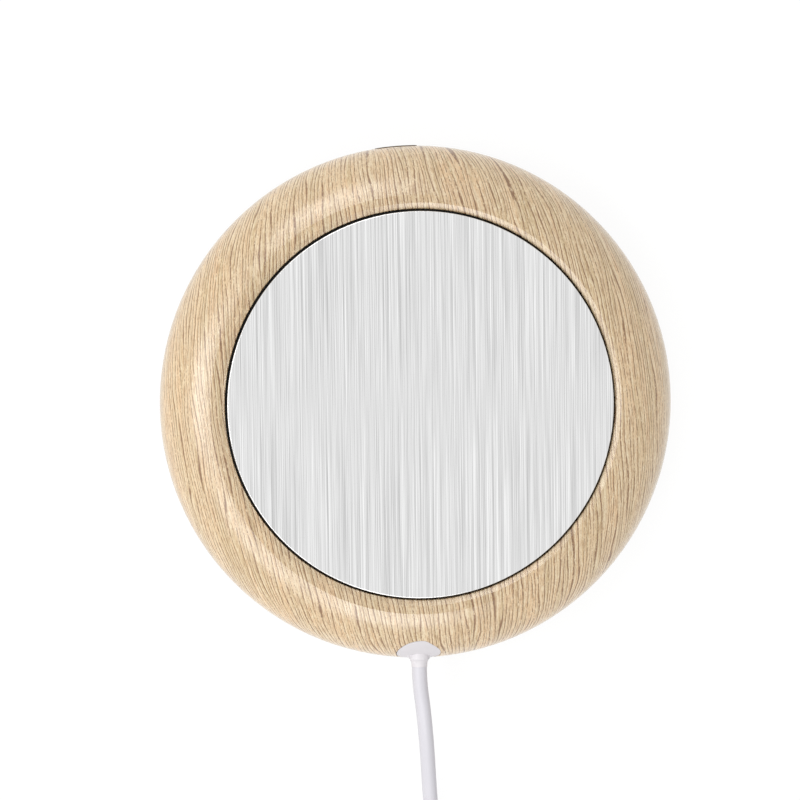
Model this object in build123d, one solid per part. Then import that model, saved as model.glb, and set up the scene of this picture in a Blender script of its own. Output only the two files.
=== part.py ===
from build123d import *
import os
from math import acos, asin, atan2, cos, degrees, pi, radians, sin, sqrt, tan

# Electric mug warmer, in millimetres. The origin is on the table under the middle of the
# plate, +Z is up, the cord leaves towards -Y and the push button is in the wall at +Y.

# ------------------------------------------------------------------ driving sizes
# Casing, seen from above: plate, open gap, bevelled lip, flat land, domed shoulder.
PLATE_D = 96.0
PLATE_GAP = 0.6
LIP_ROUND = 0.3
LIP_BEVEL_W = 1.5
LIP_BEVEL_DEG = 22.0
LAND_WIDTH = 2.0
DOME_WIDTH = 12.9
# Casing, seen from the side.
FOOT_PROUD = 1.5
EQUATOR_Z = 10.8
DOME_HEIGHT = 13.2
PLATE_PROUD = 1.0
PARTING_Z = 4.5
BASE_TUCK = 4.5
WALL = 2.2
RIM_WALL = 2.0
LIP_T = 4.0
REVEAL_H = 0.5
REVEAL_D = 0.6
CREASE_DEG = 78.0

# Clearances.
SEAT_GAP = 0.1
SLIP = 0.05
BUTTON_GAP = 0.3

# Base cover.
BASE_T = 2.0
SPIGOT_H = 2.0
SPIGOT_T = 1.5
FOOT_D = 12.0
FOOT_RECESS = 0.8
FOOT_INSET = 13.5
FOOT_EDGE = 0.5
FOOT_COUNT = 4
VENT_W = 2.2
VENT_L = 12.0
VENT_R = 24.0
VENT_COUNT = 8

# Screws: shank diameter, shank length, head diameter, head height.
CASING_SCREW = (2.9, 9.0, 5.4, 1.9)
CARRIER_SCREW = (2.2, 4.6, 3.8, 1.3)
SMALL_SCREW = (2.2, 3.6, 3.8, 1.2)
CLAMP_SCREW = (2.2, 9.0, 3.8, 1.2)
SCREW_RECESS = 0.3
SCREW_WEB = 1.8
HEAD_ROOM = 0.4
SHANK_ROOM = 0.25
SCREW_TIP_GAP = 0.4
HEAD_EDGE = 0.55
DRIVE_DEPTH = 0.6
DRIVE_W = 0.7
DRIVE_L = 2.3
BOSS_D = 7.5
SCREW_COUNT = 4
DIAGONAL_DEG = 45.0

# Plate stack.
PLATE_T = 1.0
PLATE_EDGE = 0.25
SEAL_T = 0.6
SEAL_INSET = 0.4
CARRIER_INSET = 0.15
CARRIER_WALL = 3.35
CARRIER_FLANGE_T = 2.0
CARRIER_FLANGE_W = 4.8
FILM_T = 0.3
TRACK_T = 0.1
FILM_INSET = 6.0
PAD_T = 3.0
PRESSURE_T = 0.8
PRESSURE_INSET = 2.0
STUD_D = 3.0
STUD_INSET = 12.0
STUD_TIP = 3.5
STUD_ROOM = 0.2
STUD_COUNT = 4
NUT_AF = 5.5
NUT_T = 2.4
WASHER_D = 7.0
WASHER_T = 0.5
TRACK_W = 2.2
TRACK_PITCH = 4.4
TRACK_R_IN = 9.0
TRACK_TURNS = 6
TERMINAL_GAP = 3.0
TERMINAL_HOLE_D = 2.6

# Thermal cut-out and its clip.
CUTOUT_L = 20.0
CUTOUT_W = 7.7
CUTOUT_EDGE = 0.8
CUTOUT_PIN_Y = 2.0
WINDOW_GAP = 0.4
WINDOW_TAIL = 5.0
CLIP_W = 6.0
CLIP_L = 28.0
CLIP_T = 0.5
CLIP_CORNER = 1.5
CLIP_X = -2.0
RIVET_D = 2.4
RIVET_HEAD_D = 4.0
RIVET_HEAD_T = 0.6
RIVET_EDGE = 0.35
RIVET_PITCH = 22.0

# Cord and gland.
CORD_D = 3.8
CORD_X = -0.5
CORD_Z_ABOVE_EQUATOR = 3.5
# The gland's cap lies in the shoulder, square to an axis with this turn and rise in degrees.
CAP_D = 10.7
CAP_T = 1.8
CAP_X = -0.93
CAP_SHOULDER_DEG = 27.4
CAP_TURN_DEG = -108.0
CAP_RISE_DEG = 28.0
GLAND_GAP = 0.15
BARREL_D = 7.0
BARREL_DEPTH = 2.2
GLAND_SEAT_L = 7.9
GLAND_FLANGE_D = 11.0
GLAND_FLANGE_T = 1.5
GLAND_PAD_W = 16.0
# Sections of the gland's nose: distance from the casing's outermost line, and diameter.
NOSE_BASE = (-0.3, 5.4)
NOSE_WAIST = (0.45, 4.4)
NOSE_TIP = (1.8, 4.0)
CLAMP_SETBACK = 14.0
CLAMP_W = 16.0
CLAMP_DEPTH = 6.0
CLAMP_SLOT = 1.2
CLAMP_T = 2.5
CLAMP_CORNER = 1.0
CLAMP_PITCH = 11.0
TAIL_PAST_CLAMP = 1.5

# Push button and its switch.
BUTTON_X = -4.7
BUTTON_W = 10.7
BUTTON_H = 4.0
BUTTON_CORNER = 1.1
BUTTON_PROUD = 0.0
BUTTON_FLANGE = 1.1
BUTTON_FLANGE_T = 1.1
BUTTON_FLANGE_BACK = 1.4
BUTTON_BOSS_D = 5.6
BUTTON_BOSS_L = 3.5
BUTTON_TRAVEL = 1.8
PLUNGER_W = 3.0
PLUNGER_IN_CAP = 2.8
SWITCH_W = 8.5
SWITCH_L = 11.0
SWITCH_WALL = 0.7
SWITCH_BACKSET = 3.2
SLIDER_GAP = 0.3
SLIDER_L = 4.5
SLIDER_END_GAP = 0.5
STEM_ROOM = 0.3
CONTACT_T = 0.25
CONTACT_W = 4.0
CONTACT_L = 3.0
SPRING_D = 4.4
SPRING_WIRE = 0.35
SPRING_COILS = 4.5
BOARD_W = 22.0
BOARD_L = 17.0
BOARD_T = 1.6
BOARD_OVERHANG = 3.0
BOARD_SCREW_X = 8.0
BOARD_POST_D = 5.0
PIN_COLS = 3
PIN_PITCH_Y = 2.0
PIN_ROW_X = 2.5
PIN_SIZE = (0.6, 0.3)
PIN_PROUD = 0.7
PIN_HOLE_D = 1.0

# Leads inside the casing.
LEAD_D = 1.4
LEAD_END_GAP = 0.05
LEAD_FLOOR_GAP = 0.3
SOLDER_INSET = 1.5
SOLDER_X = 4.0

# Coil of spare cord, its tie and the plug.
COIL_X = 33.0
COIL_SETBACK = 81.2
COIL_R_IN = 11.6
COIL_SLACK = 0.13
COIL_LAYERS = 2
COIL_TURNS = 8.75
COIL_STUB = 16.0
STUB_ROOT = 4.0
COIL_SKIN = 0.08
COIL_CORNER = 1.8
TIE_T = 0.4
TIE_W = 5.0
TIE_ROOM = 0.1
TIE_ANGLE = -20.0
PLUG_BODY_L = 22.0
PLUG_BODY_W = 15.4
PLUG_BODY_T = 8.0
PLUG_BODY_EDGE = 1.6
PLUG_RELIEF_L = 8.0
PLUG_RELIEF_D = (4.6, 6.4)
SHELL_W = 12.0
SHELL_T = 4.5
SHELL_L = 18.75
SHELL_WALL = 0.3
SHELL_IN_BODY = 4.0
SHELL_WINDOW = (2.0, 2.3)
SHELL_WINDOW_X = 2.6
SHELL_WINDOW_FROM_TIP = 6.2
TONGUE_T = 1.9
TONGUE_BACK = 0.6
CONTACT_COUNT = 4
CONTACT_PITCH = 2.25
CONTACT_STRIP = (1.0, 7.5, 0.15)
CONTACT_BACK = 1.5

# ------------------------------------------------------------------ worked-out sizes
PLATE_R = PLATE_D / 2
LIP_R = PLATE_R + PLATE_GAP
CREASE_R = LIP_R + LIP_BEVEL_W + LAND_WIDTH
BODY_R = CREASE_R + DOME_WIDTH
LAND_Z = EQUATOR_Z + DOME_HEIGHT
LIP_UNDER_Z = LAND_Z - LIP_T
BEVEL_FOOT = (
    LIP_R + LIP_ROUND * (1 - sin(radians(LIP_BEVEL_DEG))),
    LAND_Z
    - (LIP_BEVEL_W - LIP_ROUND * (1 - sin(radians(LIP_BEVEL_DEG))))
    * tan(radians(LIP_BEVEL_DEG)),
)
LIP_WALL_Z = BEVEL_FOOT[1] - LIP_ROUND * cos(radians(LIP_BEVEL_DEG))
BASE_R = BODY_R - BASE_TUCK
BASE_Z = FOOT_PROUD
FLOOR_Z = BASE_Z + BASE_T

# The shoulder is part of an ellipse that starts upright at the equator.
DOME_A = DOME_WIDTH / (1 - cos(radians(CREASE_DEG)))
DOME_B = DOME_HEIGHT / sin(radians(CREASE_DEG))
DOME_X = BODY_R - DOME_A
# Below the equator the wall is a round arc, upright at the equator.
TUCK_R = (BASE_TUCK**2 + (EQUATOR_Z - BASE_Z) ** 2) / (2 * BASE_TUCK)
TUCK_X = BODY_R - TUCK_R


def tuck_radius_at(z):
    """Outer radius of the wall at a height below the equator."""
    return TUCK_X + sqrt(TUCK_R**2 - (EQUATOR_Z - z) ** 2)


def tuck_angle_at(z):
    """Angle of that point on the arc, in degrees below level."""
    return degrees(asin((EQUATOR_Z - z) / TUCK_R))


RIM_R = tuck_radius_at(PARTING_Z)
INNER_R = RIM_R - RIM_WALL

PLATE_TOP_Z = LAND_Z + PLATE_PROUD
PLATE_UNDER_Z = PLATE_TOP_Z - PLATE_T
CARRIER_TOP_Z = PLATE_UNDER_Z - SEAL_T
CARRIER_R = PLATE_R - CARRIER_INSET
CARRIER_IN_R = CARRIER_R - CARRIER_WALL
FLANGE_R = LIP_R + CARRIER_FLANGE_W
FLANGE_UNDER_Z = LIP_UNDER_Z - CARRIER_FLANGE_T
PRESSURE_R = PLATE_R - PRESSURE_INSET
FILM_R = PLATE_R - FILM_INSET
FILM_UNDER_Z = PLATE_UNDER_Z - FILM_T
PAD_UNDER_Z = FILM_UNDER_Z - PAD_T
PRESSURE_UNDER_Z = PAD_UNDER_Z - PRESSURE_T
STUD_R = PLATE_R - STUD_INSET
STUD_HOLE_D = STUD_D + 2 * STUD_ROOM
NUT_UNDER_Z = PRESSURE_UNDER_Z - WASHER_T - NUT_T
STUD_END_Z = PAD_UNDER_Z - STUD_TIP - PRESSURE_T
CARRIER_SCREW_R = (LIP_R + FLANGE_R) / 2
CASING_SCREW_R = INNER_R - BOSS_D / 2 + SEAT_GAP
HEAD_Z = BASE_Z + SCREW_RECESS + CASING_SCREW[3]
BOSS_FOOT_Z = HEAD_Z + SCREW_WEB
FOOT_R = BASE_R - FOOT_INSET

GLAND_Z = EQUATOR_Z + CORD_Z_ABOVE_EQUATOR
GLAND_BACK_Y = -(BODY_R - GLAND_SEAT_L)
NOSE_TIP_Y = -(BODY_R + NOSE_TIP[0])
BARREL_FRONT_Y = -(BODY_R - BARREL_DEPTH)
CAP_MIDDLE_R = DOME_X + DOME_A * cos(radians(CAP_SHOULDER_DEG))
CAP_MIDDLE_Z = EQUATOR_Z + DOME_B * sin(radians(CAP_SHOULDER_DEG))
CLAMP_Y = GLAND_BACK_Y + GLAND_FLANGE_T + CLAMP_SETBACK
CLAMP_POST_Z = GLAND_Z - CLAMP_SLOT / 2
BRIDGE_TOP_Z = GLAND_Z + CLAMP_SLOT / 2 + CLAMP_T
TAIL_END_Y = CLAMP_Y + CLAMP_DEPTH / 2 + TAIL_PAST_CLAMP

BUTTON_Z = EQUATOR_Z
FLANGE_FACE_Y = INNER_R - BUTTON_FLANGE_BACK
FLANGE_BACK_Y = FLANGE_FACE_Y - BUTTON_FLANGE_T
BUTTON_END_Y = FLANGE_BACK_Y - BUTTON_BOSS_L
SWITCH_FACE_Y = BUTTON_END_Y - SWITCH_BACKSET
SWITCH_BACK_Y = SWITCH_FACE_Y - SWITCH_L
SWITCH_UNDER_Z = BUTTON_Z - SWITCH_W / 2
BOARD_UNDER_Z = SWITCH_UNDER_Z - BOARD_T
BOARD_Y = SWITCH_BACK_Y + BOARD_L / 2 - BOARD_OVERHANG
PLUNGER_TIP_Y = BUTTON_END_Y + PLUNGER_IN_CAP
SLIDER_W = SWITCH_W - 2 * (SWITCH_WALL + CONTACT_T + SLIDER_GAP)
SLIDER_FRONT_Y = SWITCH_FACE_Y - SWITCH_WALL - SLIDER_END_GAP
SLIDER_BACK_Y = SLIDER_FRONT_Y - SLIDER_L

# The track's two ends, where the leads meet it.
TERMINAL_X = TERMINAL_GAP + TRACK_W / 2
TERMINAL_IN_Y = -TRACK_R_IN
TERMINAL_OUT_Y = -(TRACK_R_IN + TRACK_PITCH * (TRACK_TURNS - 1))
CUTOUT_Z = (PRESSURE_UNDER_Z + FILM_UNDER_Z) / 2
SOLDER_Y = BOARD_Y - BOARD_L / 2 + SOLDER_INSET

CORD_R = CORD_D / 2
LEAD_R = LEAD_D / 2
COIL_Y = NOSE_TIP_Y - COIL_SETBACK
COIL_R_OUT = COIL_R_IN + COIL_TURNS / COIL_LAYERS * (CORD_D + COIL_SLACK)
COIL_LIFT = TIE_T + TIE_ROOM
COIL_LAYER_RISE = CORD_D + SLIP
COIL_LOW_Z = COIL_LIFT + CORD_R
COIL_TOP_Z = COIL_LOW_Z + COIL_LAYER_RISE * (COIL_LAYERS - 1)
# The lead enters the coil along Y at this x; the end leaves it along X at this y.
ENTER_X = COIL_X - COIL_R_OUT
LEAVE_Y = COIL_Y + COIL_R_OUT
PLUG_Z = PLUG_BODY_T / 2


# ------------------------------------------------------------------ shapes used often
def rod(radius, z_low, z_high, x=0.0, y=0.0):
    """Upright round bar between two heights."""
    low = (Align.CENTER, Align.CENTER, Align.MIN)
    return Pos(x, y, z_low) * Cylinder(radius, z_high - z_low, align=low)


def level_rod(radius, y_from, y_to, x=0.0, z=0.0):
    """Round bar along Y between two places."""
    middle = Pos(x, (y_from + y_to) / 2, z)
    return middle * Rot(90, 0, 0) * Cylinder(radius, abs(y_to - y_from))


def slab(x, y, z):
    """Box between two values of x, of y and of z."""
    middle = Pos(sum(x) / 2, sum(y) / 2, sum(z) / 2)
    return middle * Box(x[1] - x[0], y[1] - y[0], z[1] - z[0])


def tube(r_out, r_in, z_low, z_high):
    """Upright ring with a square section."""
    return rod(r_out, z_low, z_high) - rod(r_in, z_low - 1, z_high + 1)


def turned(edges):
    """Solid turned about Z from edges drawn as (radius, height)."""
    return revolve(Plane.XZ * make_face(edges), axis=Axis.Z)


def around(count, radius, start=0.0):
    """Points spaced evenly on a circle."""
    step = 360 / count
    angles = [radians(start + step * i) for i in range(count)]
    return [(radius * cos(a), radius * sin(a)) for a in angles]


def total(shapes):
    """All the shapes joined into one, or kept as separate solids of one node."""
    return Compound(children=[s for shape in shapes for s in shape.solids()])


def screw(size, x, y, head_z, up):
    """Pan-head screw with a cross recess; its head's seat is at head_z."""
    shank_d, shank_l, head_d, head_h = size
    out = -1 if up else 1
    tip_z = head_z - out * shank_l
    top_z = head_z + out * head_h
    shank = rod(shank_d / 2, min(head_z, tip_z), max(head_z, tip_z), x, y)
    head = rod(head_d / 2, min(head_z, top_z), max(head_z, top_z), x, y)
    rim = head.faces().sort_by(Axis.Z)[0 if up else -1].edges()
    head = fillet(rim, HEAD_EDGE)
    arm = DRIVE_L / 2
    floor_z = top_z - out * DRIVE_DEPTH
    depth = (min(floor_z, top_z), max(floor_z, top_z))
    cross = slab((x - arm, x + arm), (y - DRIVE_W / 2, y + DRIVE_W / 2), depth)
    cross += slab((x - DRIVE_W / 2, x + DRIVE_W / 2), (y - arm, y + arm), depth)
    return shank + head - cross


def wire(points):
    """Round lead along straight runs joined by arcs as large as the runs allow."""
    path = FilletPolyline(*points, radius=corner_radii(points))
    return sweep(Plane(origin=path @ 0, z_dir=path % 0) * Circle(LEAD_R), path)


def corner_radii(points):
    """Radius at each corner: 0.45 of the shorter run over the tangent of half the turn."""
    places = [Vector(p) for p in points]
    radii = []
    for before, here, after in zip(places, places[1:], places[2:]):
        run_in = here - before
        run_out = after - here
        turn = radians(run_in.get_angle(run_out))
        radii.append(0.45 * min(run_in.length, run_out.length) / tan(turn / 2))
    return radii


# ------------------------------------------------------------------ casing
def dome_angle_for_height(z, inset):
    """Angle on the shoulder's ellipse, set in by a wall, at a height."""
    return degrees(asin((z - EQUATOR_Z) / (DOME_B - inset)))


def dome_angle_for_radius(r, inset):
    """Angle on the shoulder's ellipse, set in by a wall, at a radius."""
    return degrees(acos((r - DOME_X) / (DOME_A - inset)))


def dome_arc(inset, start, end):
    """Stretch of the shoulder's ellipse between two angles."""
    middle = (DOME_X, EQUATOR_Z)
    return EllipticalCenterArc(
        middle, DOME_A - inset, DOME_B - inset, start, arc_size=end - start
    )


def tuck_arc(z_from, z_to):
    """Stretch of the wall below the equator, between two heights."""
    start = -tuck_angle_at(z_from)
    size = start + tuck_angle_at(z_to)
    return CenterArc((TUCK_X, EQUATOR_Z), TUCK_R, start, -size)


def casing_outline():
    """Outer edges of the casing from the lip's bore to the reveal at the parting."""
    corner = (LIP_R + LIP_ROUND, LIP_WALL_Z)
    reveal_z = PARTING_Z + REVEAL_H
    return [
        CenterArc(corner, LIP_ROUND, 90 + LIP_BEVEL_DEG, 90 - LIP_BEVEL_DEG),
        Line(BEVEL_FOOT, (LIP_R + LIP_BEVEL_W, LAND_Z)),
        Line((LIP_R + LIP_BEVEL_W, LAND_Z), (CREASE_R, LAND_Z)),
        dome_arc(0, 0, CREASE_DEG),
        tuck_arc(EQUATOR_Z, reveal_z),
    ]


def casing_solid():
    """The casing's outer shape with nothing hollowed out but its central bore."""
    reveal_z = PARTING_Z + REVEAL_H
    edges = casing_outline()
    edges.append(Line((tuck_radius_at(reveal_z), reveal_z), (LIP_R, reveal_z)))
    edges.append(Line((LIP_R, reveal_z), (LIP_R, LIP_WALL_Z)))
    return turned(edges)


def button_window(y_in, y_out, gap, depth_corner):
    """Rounded bar through the wall with the button's outline plus a gap."""
    outline = RectangleRounded(
        BUTTON_W + 2 * gap, BUTTON_H + 2 * gap, depth_corner + gap
    )
    plane = Plane(origin=(BUTTON_X, y_in, BUTTON_Z), x_dir=(1, 0, 0), z_dir=(0, 1, 0))
    return extrude(plane * outline, y_out - y_in)


def make_upper_casing():
    """Wood-look moulded ring with lip, screw bosses, gland pad and button window."""
    reveal_z = PARTING_Z + REVEAL_H
    high = dome_angle_for_height(LIP_UNDER_Z, WALL)
    low = dome_angle_for_radius(INNER_R, WALL)
    under_r = DOME_X + (DOME_A - WALL) * cos(radians(high))
    wall_top_z = EQUATOR_Z + (DOME_B - WALL) * sin(radians(low))
    step_r = RIM_R - REVEAL_D
    edges = casing_outline() + [
        Line((tuck_radius_at(reveal_z), reveal_z), (step_r, reveal_z)),
        Line((step_r, reveal_z), (step_r, PARTING_Z)),
        Line((step_r, PARTING_Z), (INNER_R, PARTING_Z)),
        Line((INNER_R, PARTING_Z), (INNER_R, wall_top_z)),
        dome_arc(WALL, low, high),
        Line((under_r, LIP_UNDER_Z), (LIP_R, LIP_UNDER_Z)),
        Line((LIP_R, LIP_UNDER_Z), (LIP_R, LIP_WALL_Z)),
    ]
    casing = turned(edges)
    envelope = casing_solid()
    for x, y in around(SCREW_COUNT, CASING_SCREW_R, DIAGONAL_DEG):
        casing += rod(BOSS_D / 2, BOSS_FOOT_Z, LIP_UNDER_Z, x, y) & envelope
    gland_pad = slab(
        (-GLAND_PAD_W / 2, GLAND_PAD_W / 2),
        (-INNER_R - RIM_WALL, GLAND_BACK_Y),
        (PARTING_Z + SPIGOT_H + SEAT_GAP, LIP_UNDER_Z + SEAT_GAP),
    )
    casing += gland_pad & envelope
    for x, y in around(SCREW_COUNT, CASING_SCREW_R, DIAGONAL_DEG):
        shank_r = (CASING_SCREW[0] + SEAT_GAP) / 2
        tip_z = HEAD_Z + CASING_SCREW[1] + SCREW_TIP_GAP
        casing -= rod(shank_r, BOSS_FOOT_Z - 1, tip_z, x, y)
    for x, y in around(SCREW_COUNT, CARRIER_SCREW_R):
        shank_r = (CARRIER_SCREW[0] + SEAT_GAP) / 2
        tip_z = FLANGE_UNDER_Z + CARRIER_SCREW[1] + SCREW_TIP_GAP
        casing -= rod(shank_r, LIP_UNDER_Z - 1, tip_z, x, y)
    barrel_front_y = BARREL_FRONT_Y - GLAND_GAP
    barrel_r = BARREL_D / 2 + GLAND_GAP
    casing -= level_rod(barrel_r, barrel_front_y, GLAND_BACK_Y + 1, CORD_X, GLAND_Z)
    nose_r = NOSE_BASE[1] / 2 + GLAND_GAP
    casing -= level_rod(nose_r, -BODY_R - 1, BARREL_FRONT_Y, CORD_X, GLAND_Z)
    casing -= cap_bar(CAP_D / 2 + GLAND_GAP, CAP_T)
    casing -= button_window(FLANGE_BACK_Y, BODY_R + 2, BUTTON_GAP, BUTTON_CORNER)
    return casing


def make_base_cover():
    """Dark dish that closes the casing, with posts, recesses and vents."""
    spigot_r = INNER_R - SEAT_GAP
    edges = [
        Line((0, BASE_Z), (BASE_R, BASE_Z)),
        tuck_arc(PARTING_Z, BASE_Z),
        Line((RIM_R, PARTING_Z), (spigot_r, PARTING_Z)),
        Line((spigot_r, PARTING_Z), (spigot_r, PARTING_Z + SPIGOT_H)),
        Line((spigot_r, PARTING_Z + SPIGOT_H), (spigot_r - SPIGOT_T, PARTING_Z + SPIGOT_H)),
        Line((spigot_r - SPIGOT_T, PARTING_Z + SPIGOT_H), (spigot_r - SPIGOT_T, FLOOR_Z)),
        Line((spigot_r - SPIGOT_T, FLOOR_Z), (0, FLOOR_Z)),
        Line((0, FLOOR_Z), (0, BASE_Z)),
    ]
    base = turned(edges)
    for x, y in around(SCREW_COUNT, CASING_SCREW_R, DIAGONAL_DEG):
        base -= rod(BOSS_D / 2 + SEAT_GAP, BOSS_FOOT_Z, PARTING_Z + SPIGOT_H + 1, x, y)
        base += rod(BOSS_D / 2 - SEAT_GAP, BASE_Z, BOSS_FOOT_Z, x, y)
        head_r = CASING_SCREW[2] / 2 + HEAD_ROOM
        base -= rod(head_r, BASE_Z - 1, HEAD_Z, x, y)
        base -= rod(CASING_SCREW[0] / 2 + SHANK_ROOM, HEAD_Z, BOSS_FOOT_Z + 1, x, y)
    for x, y in around(FOOT_COUNT, FOOT_R, DIAGONAL_DEG):
        base -= rod(FOOT_D / 2 + SEAT_GAP, BASE_Z - 1, BASE_Z + FOOT_RECESS, x, y)
    vent = SlotOverall(VENT_L, VENT_W)
    for i in range(VENT_COUNT):
        angle = 360 / VENT_COUNT * (i + 0.5)
        place = Rot(0, 0, angle) * Pos(VENT_R, 0, BASE_Z - 1)
        base -= place * extrude(vent, BASE_T + 2)
    base += clamp_post()
    for x in (BUTTON_X - BOARD_SCREW_X, BUTTON_X + BOARD_SCREW_X):
        base += rod(BOARD_POST_D / 2, FLOOR_Z - SEAT_GAP, BOARD_UNDER_Z, x, BOARD_Y)
        tip_z = SWITCH_UNDER_Z - SMALL_SCREW[1] - SCREW_TIP_GAP
        base -= rod((SMALL_SCREW[0] + SEAT_GAP) / 2, tip_z, BOARD_UNDER_Z + 1, x, BOARD_Y)
    return base


def clamp_screw_places():
    """Where the clamp's two screws are, either side of the cord."""
    return (CORD_X - CLAMP_PITCH / 2, CORD_X + CLAMP_PITCH / 2)


def clamp_post():
    """Post under the cord with a cradle and two screw holes."""
    half = CLAMP_W / 2
    depth = (CLAMP_Y - CLAMP_DEPTH / 2, CLAMP_Y + CLAMP_DEPTH / 2)
    x = (CORD_X - half, CORD_X + half)
    post = slab(x, depth, (FLOOR_Z - SEAT_GAP, CLAMP_POST_Z))
    post -= level_rod(CORD_R, depth[0] - 1, depth[1] + 1, CORD_X, GLAND_Z)
    tip_z = BRIDGE_TOP_Z - CLAMP_SCREW[1] - SCREW_TIP_GAP
    for x in clamp_screw_places():
        post -= rod((CLAMP_SCREW[0] + SEAT_GAP) / 2, tip_z, CLAMP_POST_Z + 1, x, CLAMP_Y)
    return post


def make_rubber_feet():
    """Four round feet pressed into the base's recesses."""
    feet = []
    for x, y in around(FOOT_COUNT, FOOT_R, DIAGONAL_DEG):
        foot = rod(FOOT_D / 2, 0, FOOT_PROUD + FOOT_RECESS, x, y)
        feet.append(fillet(foot.edges().sort_by(Axis.Z)[0], FOOT_EDGE))
    return total(feet)


def make_casing_screws():
    """Four screws up through the base into the casing's bosses."""
    places = around(SCREW_COUNT, CASING_SCREW_R, DIAGONAL_DEG)
    return total(screw(CASING_SCREW, x, y, HEAD_Z, True) for x, y in places)


# ------------------------------------------------------------------ plate and heater
def make_heating_plate():
    """Brushed steel disc with four weld studs under it."""
    disc = rod(PLATE_R, PLATE_UNDER_Z, PLATE_TOP_Z)
    disc = fillet(disc.edges().sort_by(Axis.Z)[-1], PLATE_EDGE)
    for x, y in around(STUD_COUNT, STUD_R, DIAGONAL_DEG):
        disc += rod(STUD_D / 2, STUD_END_Z, PLATE_UNDER_Z + SLIP, x, y)
    return disc


def make_plate_seal():
    """Flat silicone ring between the plate and its carrier."""
    return tube(PLATE_R - SEAL_INSET, CARRIER_IN_R + SEAT_GAP, CARRIER_TOP_Z, PLATE_UNDER_Z)


def make_plate_carrier():
    """Black ring that holds the plate stack under the casing's lip."""
    bore_r = PRESSURE_R + SEAT_GAP
    points = [
        (CARRIER_IN_R, CARRIER_TOP_Z),
        (CARRIER_R, CARRIER_TOP_Z),
        (CARRIER_R, LIP_UNDER_Z),
        (FLANGE_R, LIP_UNDER_Z),
        (FLANGE_R, FLANGE_UNDER_Z),
        (bore_r, FLANGE_UNDER_Z),
        (bore_r, PAD_UNDER_Z),
        (CARRIER_IN_R, PAD_UNDER_Z),
    ]
    carrier = turned(Polyline(*points, close=True))
    for x, y in around(SCREW_COUNT, CARRIER_SCREW_R):
        shank_r = CARRIER_SCREW[0] / 2 + SHANK_ROOM
        carrier -= rod(shank_r, FLANGE_UNDER_Z - 1, LIP_UNDER_Z + 1, x, y)
    return carrier


def make_carrier_screws():
    """Four screws through the carrier's flange into the casing's lip."""
    places = around(SCREW_COUNT, CARRIER_SCREW_R)
    return total(screw(CARRIER_SCREW, x, y, FLANGE_UNDER_Z, True) for x, y in places)


def track_arc_end(radius, side):
    """Point where an arc of the track stops beside the gap at -Y."""
    return (side * TERMINAL_GAP, -sqrt(radius**2 - TERMINAL_GAP**2))


def track_outline():
    """Flat outline of the heater's foil: arcs joined in turn at either end."""
    half_w = TRACK_W / 2
    outline = Sketch()
    gap = Pos(0, -PLATE_R / 2) * Rectangle(2 * TERMINAL_GAP, PLATE_R)
    for i in range(TRACK_TURNS):
        radius = TRACK_R_IN + TRACK_PITCH * i
        outline += Circle(radius + half_w) - Circle(radius - half_w) - gap
        if i:
            side = -1 if i % 2 else 1
            inner_y = track_arc_end(radius - TRACK_PITCH, side)[1]
            outer_y = track_arc_end(radius, side)[1]
            x = side * TERMINAL_X
            link = Rectangle(TRACK_W, inner_y - outer_y + TRACK_W)
            outline += Pos(x, (inner_y + outer_y) / 2) * link
    return outline


def pierced(disc, z_low, z_high, hole_d):
    """A disc of the stack with holes for the plate's studs."""
    for x, y in around(STUD_COUNT, STUD_R, DIAGONAL_DEG):
        disc -= rod(hole_d / 2, z_low - 1, z_high + 1, x, y)
    return disc


def lead_holes(disc, z_low, z_high):
    """Holes for the two leads that reach the heater's terminals."""
    for y in (TERMINAL_IN_Y, TERMINAL_OUT_Y):
        disc -= rod(TERMINAL_HOLE_D / 2, z_low - 1, z_high + 1, TERMINAL_X, y)
    return disc


def make_heater_film():
    """Thin insulating film with the track's channel in its upper face."""
    film = rod(FILM_R, FILM_UNDER_Z, PLATE_UNDER_Z)
    film = pierced(film, FILM_UNDER_Z, PLATE_UNDER_Z, STUD_HOLE_D)
    channel = extrude(track_outline(), TRACK_T + 1)
    return film - Pos(0, 0, PLATE_UNDER_Z - TRACK_T) * channel


def make_heater_track():
    """Etched foil track, level with the film's upper face."""
    return Pos(0, 0, PLATE_UNDER_Z - TRACK_T) * extrude(track_outline(), TRACK_T)


def cutout_window(z_low, z_high):
    """Bar with the outline of the cut-out's window, leads included."""
    x = (-CUTOUT_L / 2 - WINDOW_GAP, CUTOUT_L / 2 + WINDOW_TAIL)
    y = (-CUTOUT_W / 2 - WINDOW_GAP, CUTOUT_W / 2 + WINDOW_GAP)
    return slab(x, y, (z_low, z_high))


def make_insulation_pad():
    """Soft mineral pad that presses the film up against the plate."""
    pad = rod(FILM_R, PAD_UNDER_Z, FILM_UNDER_Z)
    pad = pierced(pad, PAD_UNDER_Z, FILM_UNDER_Z, STUD_HOLE_D)
    pad = lead_holes(pad, PAD_UNDER_Z, FILM_UNDER_Z)
    return pad - cutout_window(PAD_UNDER_Z - 1, FILM_UNDER_Z + 1)


def make_pressure_plate():
    """Zinc-plated disc that the nuts pull up under the pad and the carrier."""
    plate = rod(PRESSURE_R, PRESSURE_UNDER_Z, PAD_UNDER_Z)
    plate = pierced(plate, PRESSURE_UNDER_Z, PAD_UNDER_Z, STUD_HOLE_D)
    plate = lead_holes(plate, PRESSURE_UNDER_Z, PAD_UNDER_Z)
    plate -= cutout_window(PRESSURE_UNDER_Z - 1, PAD_UNDER_Z + 1)
    for y in (-RIVET_PITCH / 2, RIVET_PITCH / 2):
        plate -= rod(RIVET_D / 2 + SLIP, PRESSURE_UNDER_Z - 1, PAD_UNDER_Z + 1, CLIP_X, y)
    return plate


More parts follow.
